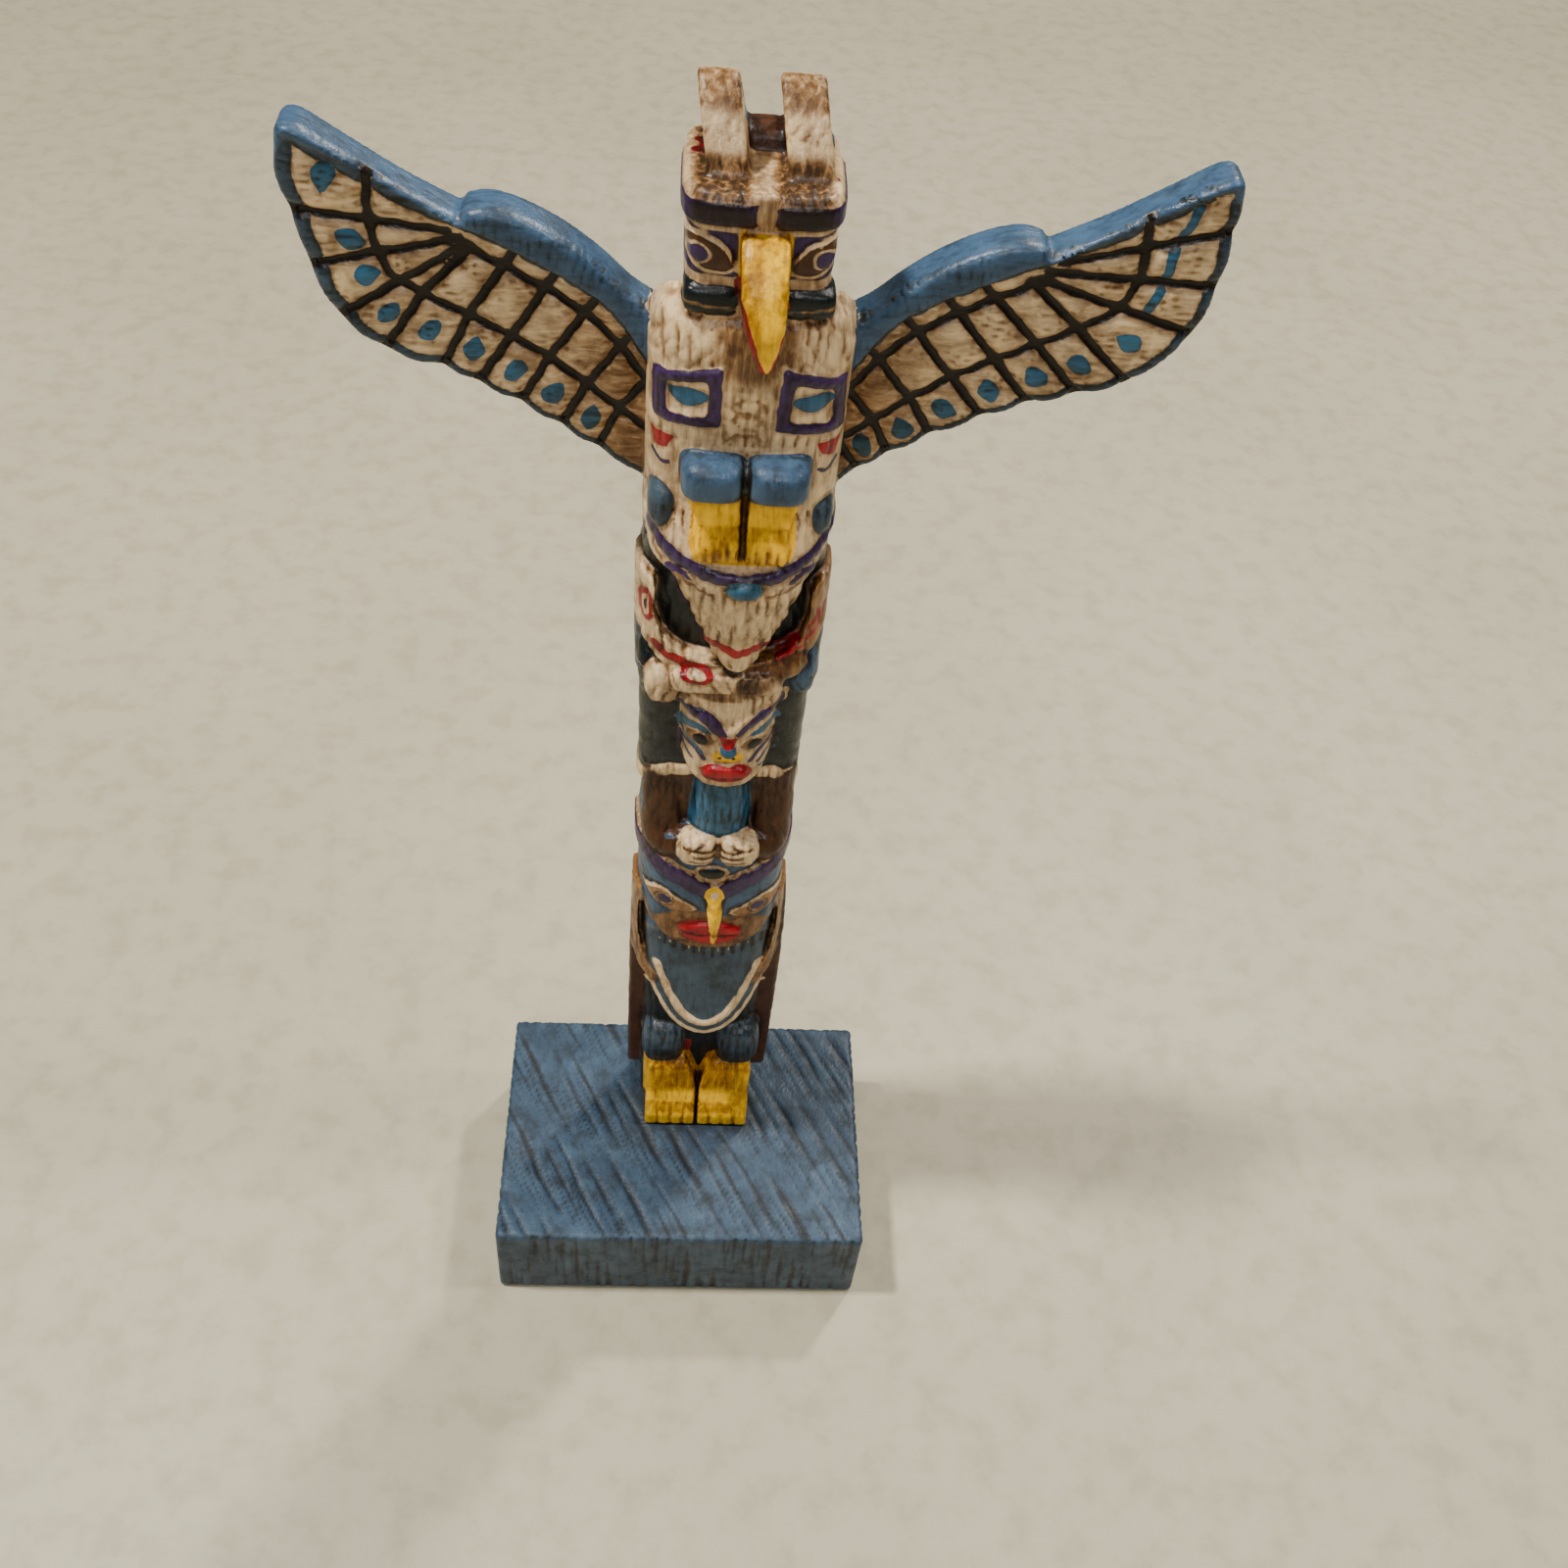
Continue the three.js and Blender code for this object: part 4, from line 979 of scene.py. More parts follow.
def draw_thunderbird(c):
    c.coat("cream", "chest", only=c.points[:, 2] > 164)
    chest = c.front & (c.points[:, 1] > -13.4)
    c.flutes((-13.4, 13.6, 182, 204), 1.7, 0.22, wash_and_shade=0.7, zone=chest, seed=6)
    c.flutes((-6.4, 7.4, 184, 206), 1.15, 0.14, wash_and_shade=0.7, zone=chest, seed=2)
    for side in SIDES:
        c.flutes(side_box(side, 3, 14, 196, 205), 1.9, 0.25, lean=side * 0.7, wash_and_shade=0.5, seed=side + 2)
    c.stain_and_shade((-7, 8, 193, 206), 0.65, chest)
    c.stain_and_shade((-15, 15, 176, 184), 0.5)
    for s, corners in zip(SIDES, EYE_FRAMES):
        c.calm(shrunk(corners, 1.1))
        for share, colour, cut in ((0.94, "cream", 0.0), (0.87, "purple", 0.12), (0.45, "cream", 0.15)):
            inner = polygon(shrunk(corners, share))
            c.shape(colour, lambda u, v: inner(u, v) - 0.7, box_of(corners, 1), cut=cut)
        ring = shrunk(corners, 0.82)
        c.groove([*ring, ring[0]], 0.5, 0.12, 0, wash_and_shade=0.6)
        x, z = np.mean(corners, axis=0)
        c.patch("turquoise", [
            [x - 2.9, z + 1.1], [x, z + 1.6], [x + 2.8, z + 1.2],
            [x + 2.1, z - 0.5], [x, z - 1.3], [x - 2.1, z - 0.4],
        ], 3, cut=0.15)
        c.patch("red", mirror([[13.6, 183.9], [10, 184.6], [11, 182.4], [12.8, 181.2]], s), cut=0.15)
        c.stroke("purple", mirror([[13, 180.4], [11.8, 179.4], [10.6, 180]], s), 0.6)
    for points in (
        [[-2.5, 191], [-0.2, 192.4], [2.1, 191.4], [0.6, 190.1], [-1.6, 190.2], [-2.5, 191]],
        [[-2.5, 188.8], [-0.3, 189.6], [2.1, 188.9], [0, 187.3], [-2.5, 188.8]],
        [[-2.8, 185.6], [-1.4, 186.4], [0.9, 186.3], [2, 185.4], [0.8, 184.4], [-1.6, 184.4], [-2.8, 185.6]],
    ):
        c.groove(points, 0.55, 0.2, 3, wash_and_shade=0.55)
    c.coat("slate", "pads", cut=0.15)
    c.coat("yellow", "shins", spare=0.9)
    c.flutes((-7, 8, 167.4, 178), 1.9, 0.14, wash_and_shade=0.4, seed=9)
    for side in SIDES:
        for x in (1.9, 3.6, 5.2):
            c.groove(mirror([[x, 166.4], [x, 169.4]], side, SHIN_MIDDLE), 0.6, 0.22, 0, wash_and_shade=0.6)
    c.calm([[-9, 176.6], [-9, 184.6], [9.6, 184.6], [9.6, 176.6]], 0.25)
    # Painted shade on the upward ledges of the shins.
    c.stain_and_shade((-8, 9, 170.4, 173.6), 0.4)
    c.coat("steel", "thighs", cut=0.1)
    c.flutes((-8, 9, 176, 183), 1.3, 0.06, wash_and_shade=0.3, seed=3)


def draw_head(c):
    c.coat("cream", "head")
    front_edge = c.front & (c.points[:, 1] < -8.6)
    c.flutes((-9.9, 9.9, 220.4, 222), 1.3, 0.4, wash_and_shade=0.6, seed=5, zone=front_edge)
    c.stain_and_shade((-2.4, 2.8, 214, 223), 0.45)
    mid = HEAD_MIDDLE
    for s in SIDES:
        inner, outer = s * 2.6 + mid, s * 10.6
        c.patch("purple", [[inner, 216.1], [outer, 216.1], [outer, 209.7], [inner, 209.7]], cut=0.15)
        c.patch("cream", [
            [s * 2.9 + mid, 210.9], [s * 4.6 + mid, 214.2], [s * 7.4 + mid, 215.7], [s * 9.9, 215.4],
            [s * 10.4, 212.4], [s * 8 + mid, 210.3], [s * 5 + mid, 209.9],
        ], 3, cut=0.15)
        c.patch("brown", [
            [s * 3.6 + mid, 211.1], [s * 5 + mid, 213.8], [s * 7.4 + mid, 215.1], [s * 9.5, 214.8],
            [s * 9.8, 212.4], [s * 7.8 + mid, 210.9], [s * 5.2 + mid, 210.5],
        ], 3)
        c.oval("cream", s * 8.1 + 0.1, 212.9, 1.75, 1.6)
        c.oval("purple", s * 8.2 + 0.1, 212.8, 1.35, 1.25, cut=0.15)
        a, b = s * 1.5 + mid, s * 11
        c.patch("purple", [
            [a - s * 0.3, 217.6], [a, 217.2], [b, 217.2], [b, 220.2], [a, 220.2], [a - s * 0.3, 219.6],
        ], 2, cut=0.15)
    c.coat("teal", "jaws", cut=0.15)
    for side in SIDES:
        ends = [side * 3 + mid, side * 10.6]
        c.stroke("cream", [[ends[0], 208.9], [ends[1], 208.9]], 0.8, 0, cut=0.15)
        c.stroke("tan", [[ends[0], 205.2], [ends[1], 206.2]], 0.5, 0)
    for centre in ((-8.2, 1.6, 221.5), (-7.6, 0, 221.5), (-7.2, -1.6, 221.5), (-8.6, -1, 221.5)):
        c.dab("red", centre, 0.75)
    c.dab("red", (8.7, -6.4, 221.4), 0.7)
    c.coat("yellow", "beak", cut=0.1)
    # Painted shade on the beak's left side.
    c.stain_and_shade((-4.5, 1.2, 196, 219), 0.45)
    c.stroke("red", [[-2.4, 209], [-1.5, 206.2], [-0.5, 203.4], [0.6, 200.6], [1.4, 199.8]], 1.6)
    c.stroke("red", [[3.6, 206.4], [3, 204], [2.3, 201.4], [1.4, 199.8]], 1.0)
    c.coat("cream", "horns", cut=0.1)
    c.coat("steel", "horns", only=c.points[:, 1] > 1.2)
    c.coat("brown", "saddle")
    for side, left in ((-1, -9.4), (1, 1)):
        c.flutes((left, left + 8, 225.4, 230.6), 1.5, 0.2, lean=-0.8, wash_and_shade=0.7, seed=side)
        c.stain_and_shade((left - 4, left + 11, 212, 240), 0.2)
        c.stain_and_shade((left - 2, left + 9, 227, 236), 0.6)
        c.stain_and_shade((left - 1, left + 9, 216, 225), 0.8)


def leaf(centre, along, length, width, seed=0):
    """Uneven pointed leaf about a centre."""
    across = np.array([-along[1], along[0]])
    turn = 2.4 * seed
    shape = (
        (-1, 0.1 + 0.4 * np.sin(turn)), (-0.4, 0.9), (0.5, 1 + 0.3 * np.cos(turn)),
        (1, 0.2 - 0.5 * np.sin(turn)), (0.6, -0.8), (-0.3 + 0.3 * np.cos(turn), -1),
    )
    return [centre + along * length * u + across * width * v for u, v in shape]


def draw_wing(c, wing):
    s = wing.side
    on_wing = (c.points[:, 0] * s > 12.6) & (c.points[:, 2] > 168) & (np.abs(c.points[:, 1]) < 5)
    front = on_wing & (c.normals[:, 1] < -0.2)
    everywhere = np.flatnonzero(on_wing & (np.abs(c.points[:, 0]) > 13.4))
    outline = wing.outline()
    edge = polygon(outline)
    d_chest = FORMS["chest"][0][2](*c.points[everywhere].T)
    c.lay("slate", everywhere, 0.4 - d_chest)
    cells = wing.spread(np.vstack([
        curve(BAND, 4), [[40.2, 210.4]], curve(OUTER_BAND, 3),
        [[62.4, 221], [63, 214], [62, 200], [54, 190], [40, 184], [25, 176], [13, 171]],
    ]))
    left, right, low, high = box_of(outline)
    index = c.near((left, right, low, high), front)
    x, z = c.x[index], c.z[index]
    rim = 1.3 + wing.rim * np.clip((np.abs(x) - 36) / 20, 0, 1)
    cell = np.maximum(polygon(cells)(x, z), edge(x, z) + rim)
    c.lay("cream", index, cell, cut=0.2)
    near_body = np.clip((36 - np.abs(x)) / 20, 0, 1)
    c.wash_and_shade[index] = np.maximum(c.wash_and_shade[index], 0.62 * near_body * (cell < 0))
    bands = [
        polygon(wing.spread(np.vstack([curve(lead, 4), curve(line, 4)[::-1]])))
        for lead, line in ((LEADING, BAND), (OUTER_LEADING, OUTER_BAND))
    ]
    c.lay("steel", index, np.minimum(bands[0](x, z), bands[1](x, z)) - 0.2, cut=0.1)
    top = np.flatnonzero(on_wing & (np.abs(c.points[:, 0]) > 14) & (c.normals[:, 2] > 0.35) & ~front)
    x, z = c.x[top], c.z[top]
    c.lay("steel", top, np.minimum(bands[0](x, z), bands[1](x, z)) - 0.6)
    band_zone = front & (c.points[:, 1] < -3.2)
    cell_zone = front & (c.points[:, 1] > -3.25)
    inner, outer = sorted([s * 13, s * 39]), sorted([s * 39, s * 63])
    c.flutes((*inner, 188, 212), 1.25, 0.14, lean=s * 0.25, wash_and_shade=0.5, zone=band_zone, seed=s)
    c.flutes((*inner, 172, 208), 1.05, 0.16, lean=1.57 - s * 0.3, wash_and_shade=0.7, zone=cell_zone, seed=s + 5)
    c.flutes((*outer, 186, 222), 1.05, 0.18, lean=1.57 + s * 0.2, wash_and_shade=0.7, zone=cell_zone, seed=s + 8)
    lines = [FIRST_ROW, SECOND_ROW, *wing.feathers]
    for line in lines:
        c.groove(wing.spread(line), 3.2, 0.35, 0, zone=cell_zone, wash_and_shade=0.45)
    for i, line in enumerate(wing.feathers[:-1]):
        start, end = np.array(line[-2]), np.array(line[-1])
        other_start, other_end = (np.array(p) for p in wing.feathers[i + 1][-2:])
        share = 0.68 if i < 3 else 0.5
        mid = (start + (end - start) * share + other_start + (other_end - other_start) * share) / 2
        along = (end - start) / np.hypot(*(end - start))
        if s > 0 and i < 2:
            across = np.array([-along[1], along[0]])
            strip_ends = wing.spread([mid + across * 2.6 + along * 0.8, mid - across * 2.6 - along * 0.8])
            c.stroke("turquoise", strip_ends, 1.4, 0, zone=front, cut=0.12)
            continue
        c.patch("cream", wing.spread(leaf(mid, along, 2.8, 1.9, i + s)), 3, zone=front, cut=0.1)
        c.patch("turquoise", wing.spread(leaf(mid, along, 2.1, 1.35, i + s)), 3, zone=front, cut=0.12)
    if s > 0:
        c.stroke("turquoise", [[56.6, 219], [56.2, 217], [55.4, 214.6]], 1.4, zone=front, cut=0.12)
    else:
        tip = leaf(np.array([56.4, 216.2]), np.array([-0.3, 0.95]), 2.4, 1.4)
        c.patch("turquoise", wing.spread(tip), 3, zone=front, cut=0.12)
    for line in lines:
        points = wing.spread(line)
        c.stroke("dark", points, 1.2, 0, zone=cell_zone)
        c.groove(points, 1.5, 0.7, 0, zone=cell_zone)
    back = on_wing & (c.normals[:, 1] > 0.4)
    for line in wing.feathers:
        c.groove(wing.spread([line[0], line[-1]]), 1.5, 0.5, 0, zone=back)


def draw(c):
    c.flutes((-14, 14, 0, 205), 3.1, 0.25, zone=c.normals[:, 1] > 0.4, wash_and_shade=0.25)
    draw_base_figure(c)
    draw_bird_face(c)
    draw_human(c)
    draw_human_face(c)
    draw_creature(c)
    draw_muzzle(c)
    draw_thunderbird(c)
    draw_head(c)
    for wing in WINGS:
        draw_wing(c, wing)


# Meshes

TRIANGLES = 192000
FRONT_SPARED = 3.0
STRAY = 1.4
HOLLOW_REACH = 1.3
EDGE_REACH = 1.1


def make_mesh(name, points, faces):
    mesh = bpy.data.meshes.new(name)
    mesh.vertices.add(len(points))
    mesh.vertices.foreach_set("co", points.astype(np.float32).ravel())
    mesh.loops.add(faces.size)
    mesh.loops.foreach_set("vertex_index", faces.astype(np.int32).ravel())
    mesh.polygons.add(len(faces))
    sides = faces.shape[1]
    mesh.polygons.foreach_set("loop_start", np.arange(0, faces.size, sides, dtype=np.int32))
    mesh.update(calc_edges=True)
    mesh.validate()
    mesh.shade_smooth()
    obj = bpy.data.objects.new(name, mesh)
    bpy.context.scene.collection.objects.link(obj)
    return obj


def read(data, what):
    values = np.empty(len(data) * 3, np.float32)
    data.foreach_get(what, values)
    return values.reshape(-1, 3).astype(float)


def move_to(mesh, points):
    mesh.vertices.foreach_set("co", points.astype(np.float32).ravel())
    mesh.update()


def thin_out(obj, keep):
    """Collapses faces at the back, down to a share of all faces."""
    mesh = obj.data
    group = obj.vertex_groups.new(name="thin")
    x, y, z = read(mesh.vertices, "co").T
    normal = read(mesh.vertices, "normal")[:, 1]
    horns = (np.abs(x) < 13) & (z > 216)
    back = ((y > FRONT_SPARED) | (normal > 0.6)) & ~horns
    group.add(np.flatnonzero(back).tolist(), 1.0, "REPLACE")
    thin = obj.modifiers.new("thin", "DECIMATE")
    thin.ratio = keep
    thin.vertex_group = "thin"
    thin.vertex_group_factor = 3.0
    fixed = bpy.data.meshes.new_from_object(obj.evaluated_get(bpy.context.evaluated_depsgraph_get()))
    obj.modifiers.clear()
    obj.vertex_groups.clear()
    obj.data = fixed
    bpy.data.meshes.remove(mesh)
    fixed.shade_smooth()


def add_values(mesh, name, values):
    layer = mesh.attributes.new(name, "FLOAT", "POINT")
    layer.data.foreach_set("value", values.astype(np.float32))


def build_pole():
    """Carving meshed and painted, thinned at the back, then painted again on the points that are left."""
    grid = fill_grid()
    points, quads = surface_net(grid)
    obj = make_mesh("painted_carving", points, quads)
    mesh = obj.data
    normals = read(mesh.vertices, "normal")
    canvas = Canvas(points, normals)
    draw(canvas)
    rest = mesh.attributes.new("rest", "FLOAT_VECTOR", "POINT")
    rest.data.foreach_set("vector", points.astype(np.float32).ravel())
    move_to(mesh, points + normals * np.clip(canvas.height, -1.1, 0.6)[:, None])
    thin_out(obj, min(1.0, TRIANGLES / (2 * len(quads))))
    mesh = obj.data
    rest_points = read(mesh.attributes["rest"].data, "vector")
    moved = read(mesh.vertices, "co")
    stray = np.linalg.norm(moved - rest_points, axis=1) > STRAY
    moved[stray] = rest_points[stray]
    move_to(mesh, moved)
    normals = read(mesh.vertices, "normal")
    canvas = Canvas(rest_points, normals)
    draw(canvas)
    # Painted shade in creases and between parts: points with other surface close outside them are darkened,
    # in the same layer as the brown wash.
    hollow = np.clip(1 - sample(grid, rest_points + HOLLOW_REACH * normals) / HOLLOW_REACH, 0, 1)
    # Raised edges are made paler, partly as worn paint and partly as painted highlight.
    edge = np.clip(1 + sample(grid, rest_points - EDGE_REACH * normals) / EDGE_REACH, 0, 1)
    add_values(mesh, "wash_and_shade", np.clip(np.maximum(canvas.wash_and_shade, 1.5 * hollow - 0.25), 0, 1))
    add_values(mesh, "edge", np.clip(1.4 * edge - canvas.wash_and_shade, 0, 1))
    for name in PAINTS:
        add_values(mesh, "paint_" + name, canvas.paint[name])
    mesh.attributes.remove(mesh.attributes["rest"])
    move_to(mesh, (read(mesh.vertices, "co") + POLE_PLACE) * MM)
    return obj


# Base block

BASE_SIZE = (78.0, 54.0, 24.0)
BASE_SHIFT = -2.0
BASE_CELL = 0.55
BASE_EDGE = 1.1
GROOVE_SLANT = -62
SIDE_GROOVE = 0.5
FRONT_GROOVE = 0.55
TOP_GROOVE = 0.36


def grain(across, along, pitch, seed):
    """Depth share of uneven parallel grooves."""
    u = across + 0.5 * wobble(0.35 * across, 0.1 * along, seed)
    wave = 0.5 + 0.5 * np.cos(2 * np.pi * u / pitch + 1.3 * np.sin(0.41 * u + seed))
    strength = np.clip(0.55 + 0.8 * wobble(0.33 * across, 0.1 * along, seed + 5), 0.05, 1.1)
    return wave**4 * strength


def build_base():
    """Box of fine squares whose sides and top carry the grooves."""
    w, d, h = BASE_SIZE
    nx, ny, nz = (int(round(v / BASE_CELL)) for v in BASE_SIZE)
    points = []
    faces = []
    number = {}

    def point(i, j, k):
        key = (i, j, k)
        if key not in number:
            number[key] = len(points)
            points.append((i / nx * w - w / 2, j / ny * d - d / 2, k / nz * h))
        return number[key]

    for i in range(nx):
        for j in range(ny):
            faces.append([point(i, j, nz), point(i + 1, j, nz), point(i + 1, j + 1, nz), point(i, j + 1, nz)])
            faces.append([point(i, j, 0), point(i, j + 1, 0), point(i + 1, j + 1, 0), point(i + 1, j, 0)])
        for k in range(nz):
            faces.append([point(i, 0, k), point(i + 1, 0, k), point(i + 1, 0, k + 1), point(i, 0, k + 1)])
            faces.append([point(i, ny, k), point(i, ny, k + 1), point(i + 1, ny, k + 1), point(i + 1, ny, k)])
    for j in range(ny):
        for k in range(nz):
            faces.append([point(0, j, k), point(0, j, k + 1), point(0, j + 1, k + 1), point(0, j + 1, k)])
            faces.append([point(nx, j, k), point(nx, j + 1, k), point(nx, j + 1, k + 1), point(nx, j, k + 1)])
    p = np.array(points)
    half = np.array([w, d, h]) / 2
    centre = np.array([0, 0, h / 2])
    q = np.abs(p - centre) - half + BASE_EDGE
    outside = np.maximum(q, 0)
    length = np.linalg.norm(outside, axis=1, keepdims=True)
    corner = np.sign(p - centre) * outside * (1 - BASE_EDGE / np.maximum(length, BASE_EDGE))
    p = p - corner
    away = [half[0] - np.abs(p[:, 0]), half[1] - np.abs(p[:, 1]), h - p[:, 2]]
    slant = np.radians(GROOVE_SLANT)
    x, y, z = p.T
    across = x * np.sin(slant) - y * np.cos(slant)
    along = x * np.cos(slant) + y * np.sin(slant)
    top = np.maximum(grain(across, along, 3.7, 1.0), 0.55 * grain(across, along, 1.45, 6.0))
    front = np.maximum(grain(x + 0.03 * z, z, 2.45, 2.0 + np.sign(y)), 0.5 * grain(x, z, 1.3, 8.0))
    side = grain(y, z, 2.5, 4.0)
    near = [np.clip(1 - a / 0.9, 0, 1) for a in away]
    low = np.clip(z / 1.5, 0, 1)
    shares = np.stack([side * near[0] * low, front * near[1] * low, top * near[2]])
    p[:, 0] -= np.sign(x) * SIDE_GROOVE * shares[0]
    p[:, 1] -= np.sign(y) * FRONT_GROOVE * shares[1]
    p[:, 2] -= TOP_GROOVE * shares[2]
    wash_and_shade = np.clip(shares.max(0) * 1.1, 0, 1)
    # The block's edges are made paler, partly as wear and partly as painted highlight.
    closest = np.sort(np.stack(away), axis=0)
    edge = np.clip(1 - (closest[0] + closest[1]) / 1.6, 0, 1) * (1 - wash_and_shade)
    foot = np.hypot(np.maximum(np.abs(x - 2.4) - 12, 0), np.maximum(np.abs(y - 12) - 11, 0))
    shade = np.exp(-foot / 3.0) * (z > h - 1)
    obj = make_mesh("grooved_base", p, np.array(faces))
    mesh = obj.data
    add_values(mesh, "wash_and_shade", np.maximum(wash_and_shade, 0.8 * shade))
    add_values(mesh, "edge", edge)
    move_to(mesh, (read(mesh.vertices, "co") + np.array([BASE_SHIFT, 0, 0])) * MM)
    return obj


# Materials

def linear(red, green, blue):
    """Screen colour of 0 to 255 as scene-linear values."""
    c = np.array([red, green, blue]) / 255
    c = np.where(c <= 0.04045, c / 12.92, ((c + 0.055) / 1.055) ** 2.4)
    return (*[float(v) for v in c], 1.0)


COLOURS = {
    "cream": linear(212, 184, 142),
    "tan": linear(142, 104, 62),
    "brown": linear(70, 42, 22),
    "steel": linear(56, 80, 105),
    "slate": linear(54, 70, 84),
    "teal": linear(18, 26, 28),
    "turquoise": linear(44, 92, 122),
    "purple": linear(56, 37, 76),
    "red": linear(156, 12, 26),
    "yellow": linear(240, 184, 0),
    "dark": linear(20, 16, 12),
}


class Nodes:
    """Short way to add and link shader nodes."""

    def __init__(self, name):
        self.material = bpy.data.materials.new(name)
        self.material.use_nodes = True
        self.tree = self.material.node_tree
        self.shader = self.tree.nodes["Principled BSDF"]

    def add(self, kind, **values):
        node = self.tree.nodes.new(kind)
        for key, value in values.items():
            setattr(node, key, value)
        return node

    def link(self, source, target):
        self.tree.links.new(source, target)

    def put(self, socket, value):
        if isinstance(value, bpy.types.NodeSocket):
            self.link(value, socket)
        else:
            socket.default_value = value

    def attribute(self, name):
        return self.add("ShaderNodeAttribute", attribute_name=name).outputs["Fac"]

    def math(self, operation, a, b=0.0, clamp=False):
        node = self.add("ShaderNodeMath", operation=operation, use_clamp=clamp)
        self.put(node.inputs[0], a)
        self.put(node.inputs[1], b)
        return node.outputs[0]

    def ramp(self, value, low, high, to_low=0.0, to_high=1.0):
        node = self.add("ShaderNodeMapRange", interpolation_type="SMOOTHSTEP")
        self.put(node.inputs["Value"], value)
        node.inputs["From Min"].default_value = low
        node.inputs["From Max"].default_value = high
        node.inputs["To Min"].default_value = to_low
        node.inputs["To Max"].default_value = to_high
        return node.outputs["Result"]

    def mix(self, share, a, b, blend="MIX"):
        node = self.add("ShaderNodeMix", data_type="RGBA", blend_type=blend)
        self.put(node.inputs["Factor"], share)
        self.put(node.inputs[6], a)
        self.put(node.inputs[7], b)
        return node.outputs[2]

    def noise(self, scale, detail=3.0, rough=0.55, stretch=(1, 1, 1), distort=0.0):
        place = self.add("ShaderNodeTexCoord").outputs["Object"]
        if stretch != (1, 1, 1):
            mapping = self.add("ShaderNodeMapping")
            mapping.inputs["Scale"].default_value = stretch
            self.link(place, mapping.inputs["Vector"])
            place = mapping.outputs["Vector"]
        node = self.add("ShaderNodeTexNoise")
        node.inputs["Scale"].default_value = scale
        node.inputs["Detail"].default_value = detail
        node.inputs["Roughness"].default_value = rough
        node.inputs["Distortion"].default_value = distort
        self.link(place, node.inputs["Vector"])
        return node.outputs["Fac"]

    def bump(self, height, distance, strength=0.5):
        node = self.add("ShaderNodeBump")
        node.inputs["Distance"].default_value = distance
        node.inputs["Strength"].default_value = strength
        self.link(height, node.inputs["Height"])
        self.link(node.outputs["Normal"], self.shader.inputs["Normal"])


def aged_and_shaded(n, colour, streak, shade, wash_and_shade_tone, gloss, wash_and_shade_share=0.8):
    """Paint with mottling, darkened in its hollows by a brown wash and by painted shade, and paler on raised
    edges, partly as worn paint and partly as painted highlight.
    """
    blotch = n.noise(260, 4.0, 0.6)
    stained = n.mix(1.0, colour, (0.46, 0.37, 0.28, 1), "MULTIPLY")
    lit = n.mix(1.0, colour, (1.5, 1.47, 1.38, 1), "MULTIPLY")
    colour = n.mix(n.ramp(blotch, 0.44, 0.7, 0.0, 0.7), colour, stained)
    colour = n.mix(n.ramp(streak, 0.48, 0.7, 0.0, 0.6), colour, stained)
    colour = n.mix(n.ramp(streak, 0.46, 0.3, 0.0, 0.5), colour, lit)
    colour = n.mix(n.ramp(n.noise(150, 3.0), 0.5, 0.34, 0.0, 0.6), colour, lit)
    uneven = n.math("MULTIPLY", n.attribute("wash_and_shade"), n.ramp(streak, 0.25, 0.65, 0.75, 1.3), clamp=True)
    shaded = n.mix(1.0, colour, shade, "MULTIPLY")
    colour = n.mix(n.ramp(uneven, 0.05, 0.75), colour, shaded)
    colour = n.mix(n.ramp(uneven, 0.62, 1.0, 0.0, wash_and_shade_share), colour, wash_and_shade_tone)
    # Paler raised edges: partly worn paint, partly painted highlight.
    worn_and_highlit_edge = n.math("MULTIPLY", n.attribute("edge"), n.ramp(n.noise(520, 4.0, 0.7), 0.48, 0.66))
    colour = n.mix(n.math("MULTIPLY", worn_and_highlit_edge, 0.7), colour, lit)
    n.link(colour, n.shader.inputs["Base Color"])
    n.link(n.ramp(blotch, 0.25, 0.8, *gloss), n.shader.inputs["Roughness"])
    n.shader.inputs["Specular IOR Level"].default_value = 0.3
    n.bump(n.math("ADD", n.math("MULTIPLY", streak, 0.8), n.noise(1500, 2.0)), 0.00014, 0.6)


def carving_paint():
    n = Nodes("hand_painted_resin")
    place = n.add("ShaderNodeTexCoord").outputs["Object"]
    split = n.add("ShaderNodeSeparateXYZ")
    n.link(place, split.inputs[0])
    on_wing = n.ramp(n.math("ABSOLUTE", split.outputs[0]), 0.0138, 0.0152)
    upright = n.noise(1100, 3.0, 0.6, (1.0, 1.0, 0.16), 0.3)
    sideways = n.noise(1000, 3.0, 0.6, (0.22, 1.0, 1.0), 0.4)
    streak = n.mix(on_wing, upright, sideways)
    colour = COLOURS["cream"]
    for name in PAINTS:
        if name == "cream":
            continue
        share = n.ramp(n.attribute("paint_" + name), 0.12, -0.06)
        colour = n.mix(share, colour, COLOURS[name])
    aged_and_shaded(n, colour, streak, (0.32, 0.22, 0.14, 1), linear(24, 15, 8), (0.3, 0.48))
    return n.material


def base_paint():
    n = Nodes("brushed_blue_resin")
    colour = n.mix(n.ramp(n.noise(60, 4.0), 0.35, 0.7), linear(46, 64, 82), linear(58, 78, 97))
    streak = n.noise(500, 4.0, 0.65, (1.0, 0.5, 0.3), 0.5)
    aged_and_shaded(n, colour, streak, (0.42, 0.42, 0.42, 1), linear(24, 29, 30), (0.4, 0.6), 0.6)
    return n.material


def floor_paint():
    n = Nodes("pale_floor")
    cloud = n.mix(n.ramp(n.noise(7, 3.0), 0.35, 0.7), linear(182, 173, 147), linear(174, 166, 140))
    speck = n.mix(1.0, cloud, (0.84, 0.84, 0.81, 1), "MULTIPLY")
    n.link(n.mix(n.ramp(n.noise(120, 4.0, 0.6), 0.42, 0.7), cloud, speck), n.shader.inputs["Base Color"])
    n.shader.inputs["Roughness"].default_value = 0.55
    return n.material


# Scene

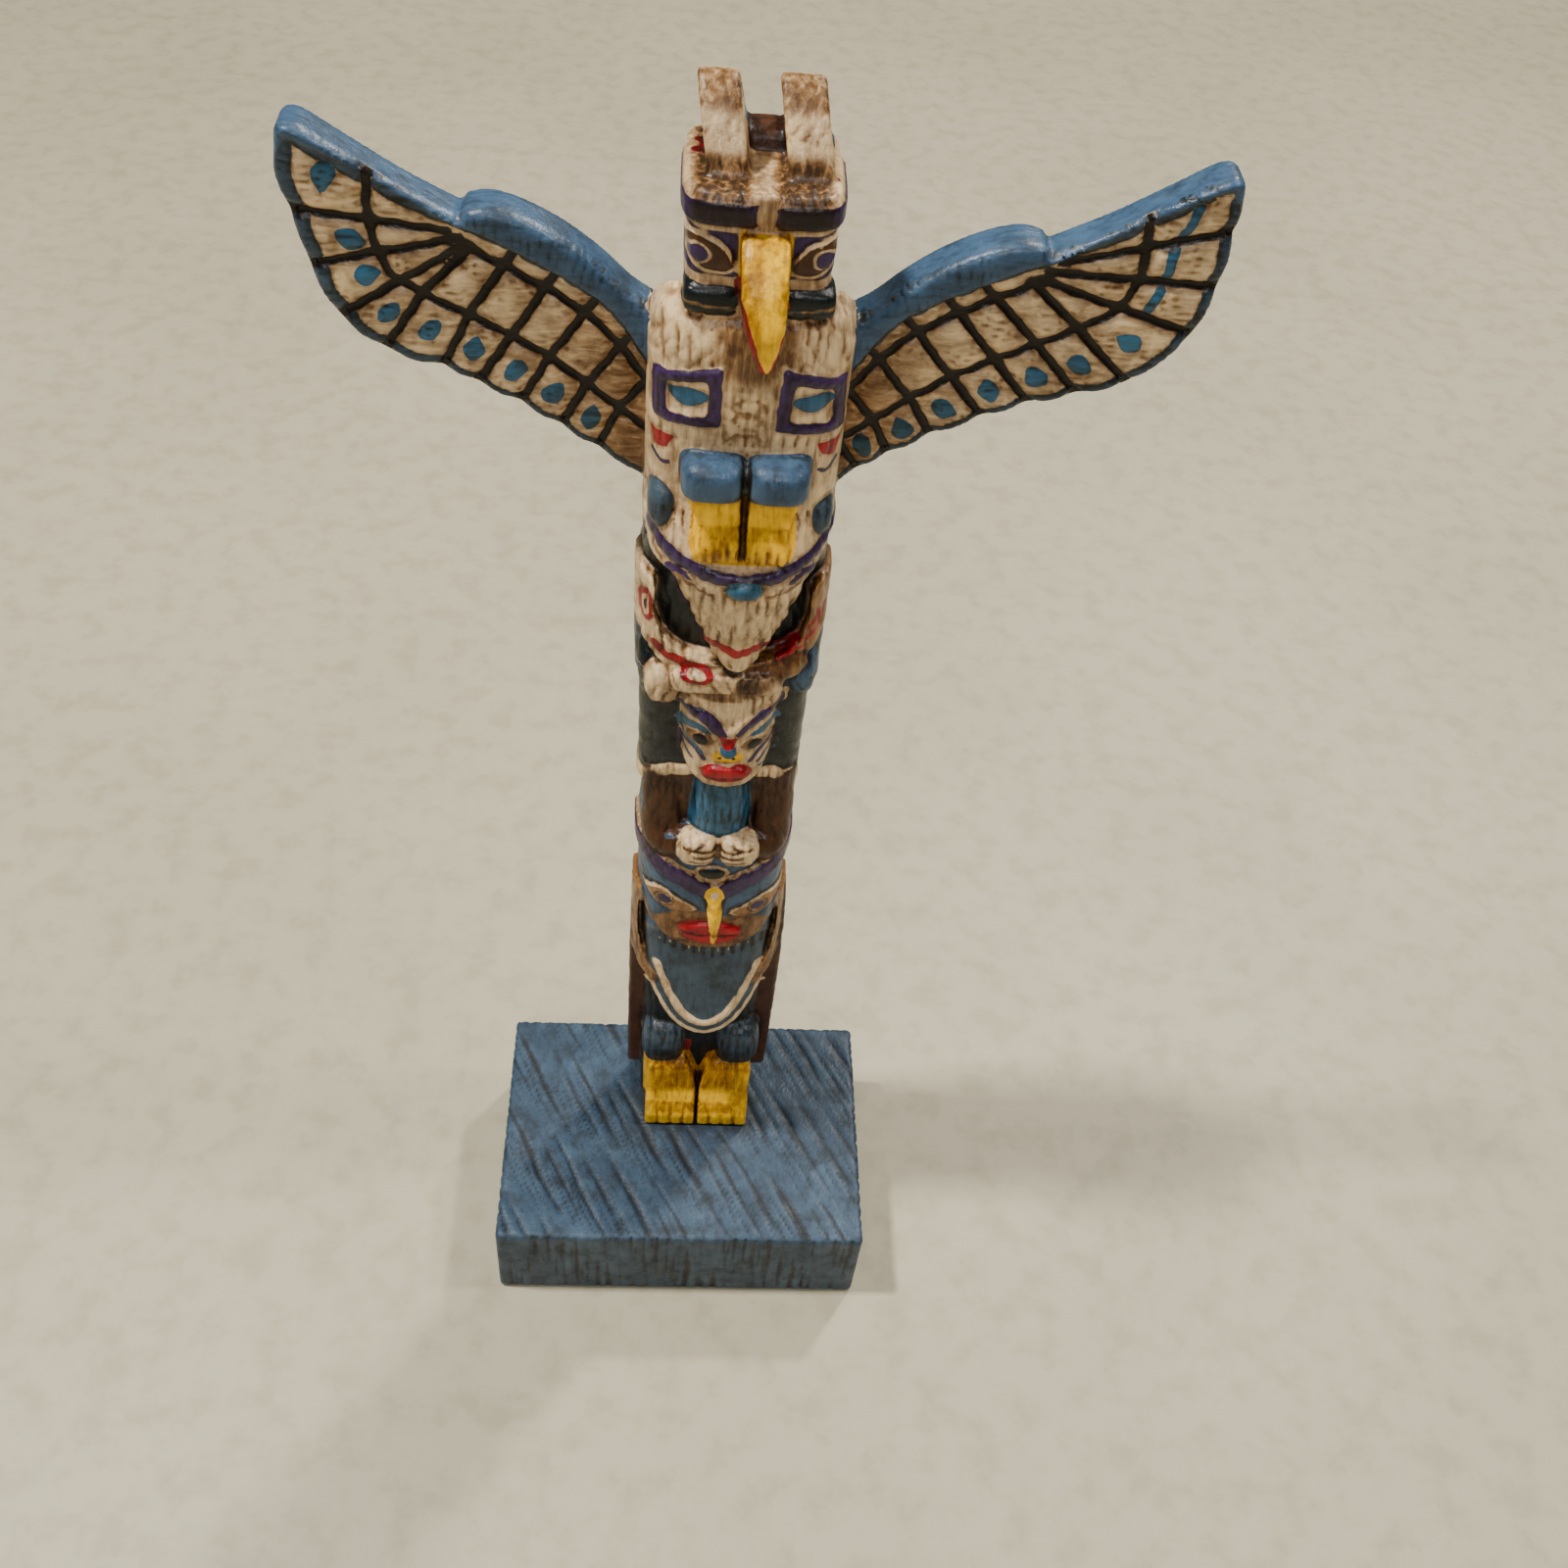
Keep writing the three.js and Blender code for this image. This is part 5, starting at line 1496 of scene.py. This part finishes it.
CAMERA_PLACE = (-10.26, -182.4, 345.14)
CAMERA_YAW_PITCH_ROLL = (6.618, 48.17, 7.146)
FOCAL_PIXELS = 1653.7
IMAGE_PIXELS = 1600
SENSOR_WIDTH = 36.0
FLOOR_HALF = 3.0
LIGHT_TARGET = (0, 0, 0.1)
LIGHTS = (
    ("ceiling_back", (0.55, 0.75, 1.15), 0.1, 13.5, (1.0, 0.96, 0.88)),
    ("ceiling_left", (-0.5, 0.0, 1.2), 0.08, 18.5, (1.0, 0.97, 0.92)),
    ("ceiling_right", (0.8, 0.0, 1.2), 0.1, 6, (1.0, 0.97, 0.92)),
    ("front_fill", (-0.1, -1.1, 1.2), 0.5, 10, (1.0, 0.98, 0.95)),
)


def add_camera():
    yaw, pitch, roll = np.radians(CAMERA_YAW_PITCH_ROLL)
    forward = Vector((np.sin(yaw) * np.cos(pitch), np.cos(yaw) * np.cos(pitch), -np.sin(pitch)))
    level = Vector((np.cos(yaw), -np.sin(yaw), 0))
    lifted = level.cross(forward)
    right = level * np.cos(roll) + lifted * np.sin(roll)
    up = lifted * np.cos(roll) - level * np.sin(roll)
    turn = Matrix((right, up, -forward)).transposed().to_4x4()
    data = bpy.data.cameras.new("camera")
    data.sensor_width = SENSOR_WIDTH
    data.lens = FOCAL_PIXELS / IMAGE_PIXELS * SENSOR_WIDTH
    data.clip_start = 0.01
    data.clip_end = 20.0
    camera = bpy.data.objects.new("camera", data)
    camera.matrix_world = Matrix.Translation(Vector(CAMERA_PLACE) * MM) @ turn
    bpy.context.scene.collection.objects.link(camera)
    bpy.context.scene.camera = camera


def add_light(name, place, size, power, colour):
    data = bpy.data.lights.new(name, "AREA")
    data.size = size
    data.energy = power
    data.color = colour
    light = bpy.data.objects.new(name, data)
    light.location = place
    light.rotation_euler = (Vector(LIGHT_TARGET) - Vector(place)).to_track_quat("-Z", "Y").to_euler()
    bpy.context.scene.collection.objects.link(light)


def add_floor():
    corners = FLOOR_HALF * np.array([[-1, -1, 0], [1, -1, 0], [1, 1, 0], [-1, 1, 0]])
    floor = make_mesh("floor", corners, np.array([[0, 1, 2, 3]]))
    floor.data.materials.append(floor_paint())


add_camera()
pole = build_pole()
pole.data.materials.append(carving_paint())
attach(pole, "root")
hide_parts("totem_pole")
base = build_base()
base.data.materials.append(base_paint())
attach(base, "root")
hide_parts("base")
add_floor()
for light in LIGHTS:
    add_light(*light)
world = bpy.data.worlds.new("room")
world.use_nodes = True
world.node_tree.nodes["Background"].inputs["Color"].default_value = (0.95, 0.95, 1.0, 1)
world.node_tree.nodes["Background"].inputs["Strength"].default_value = 0.08
bpy.context.scene.world = world
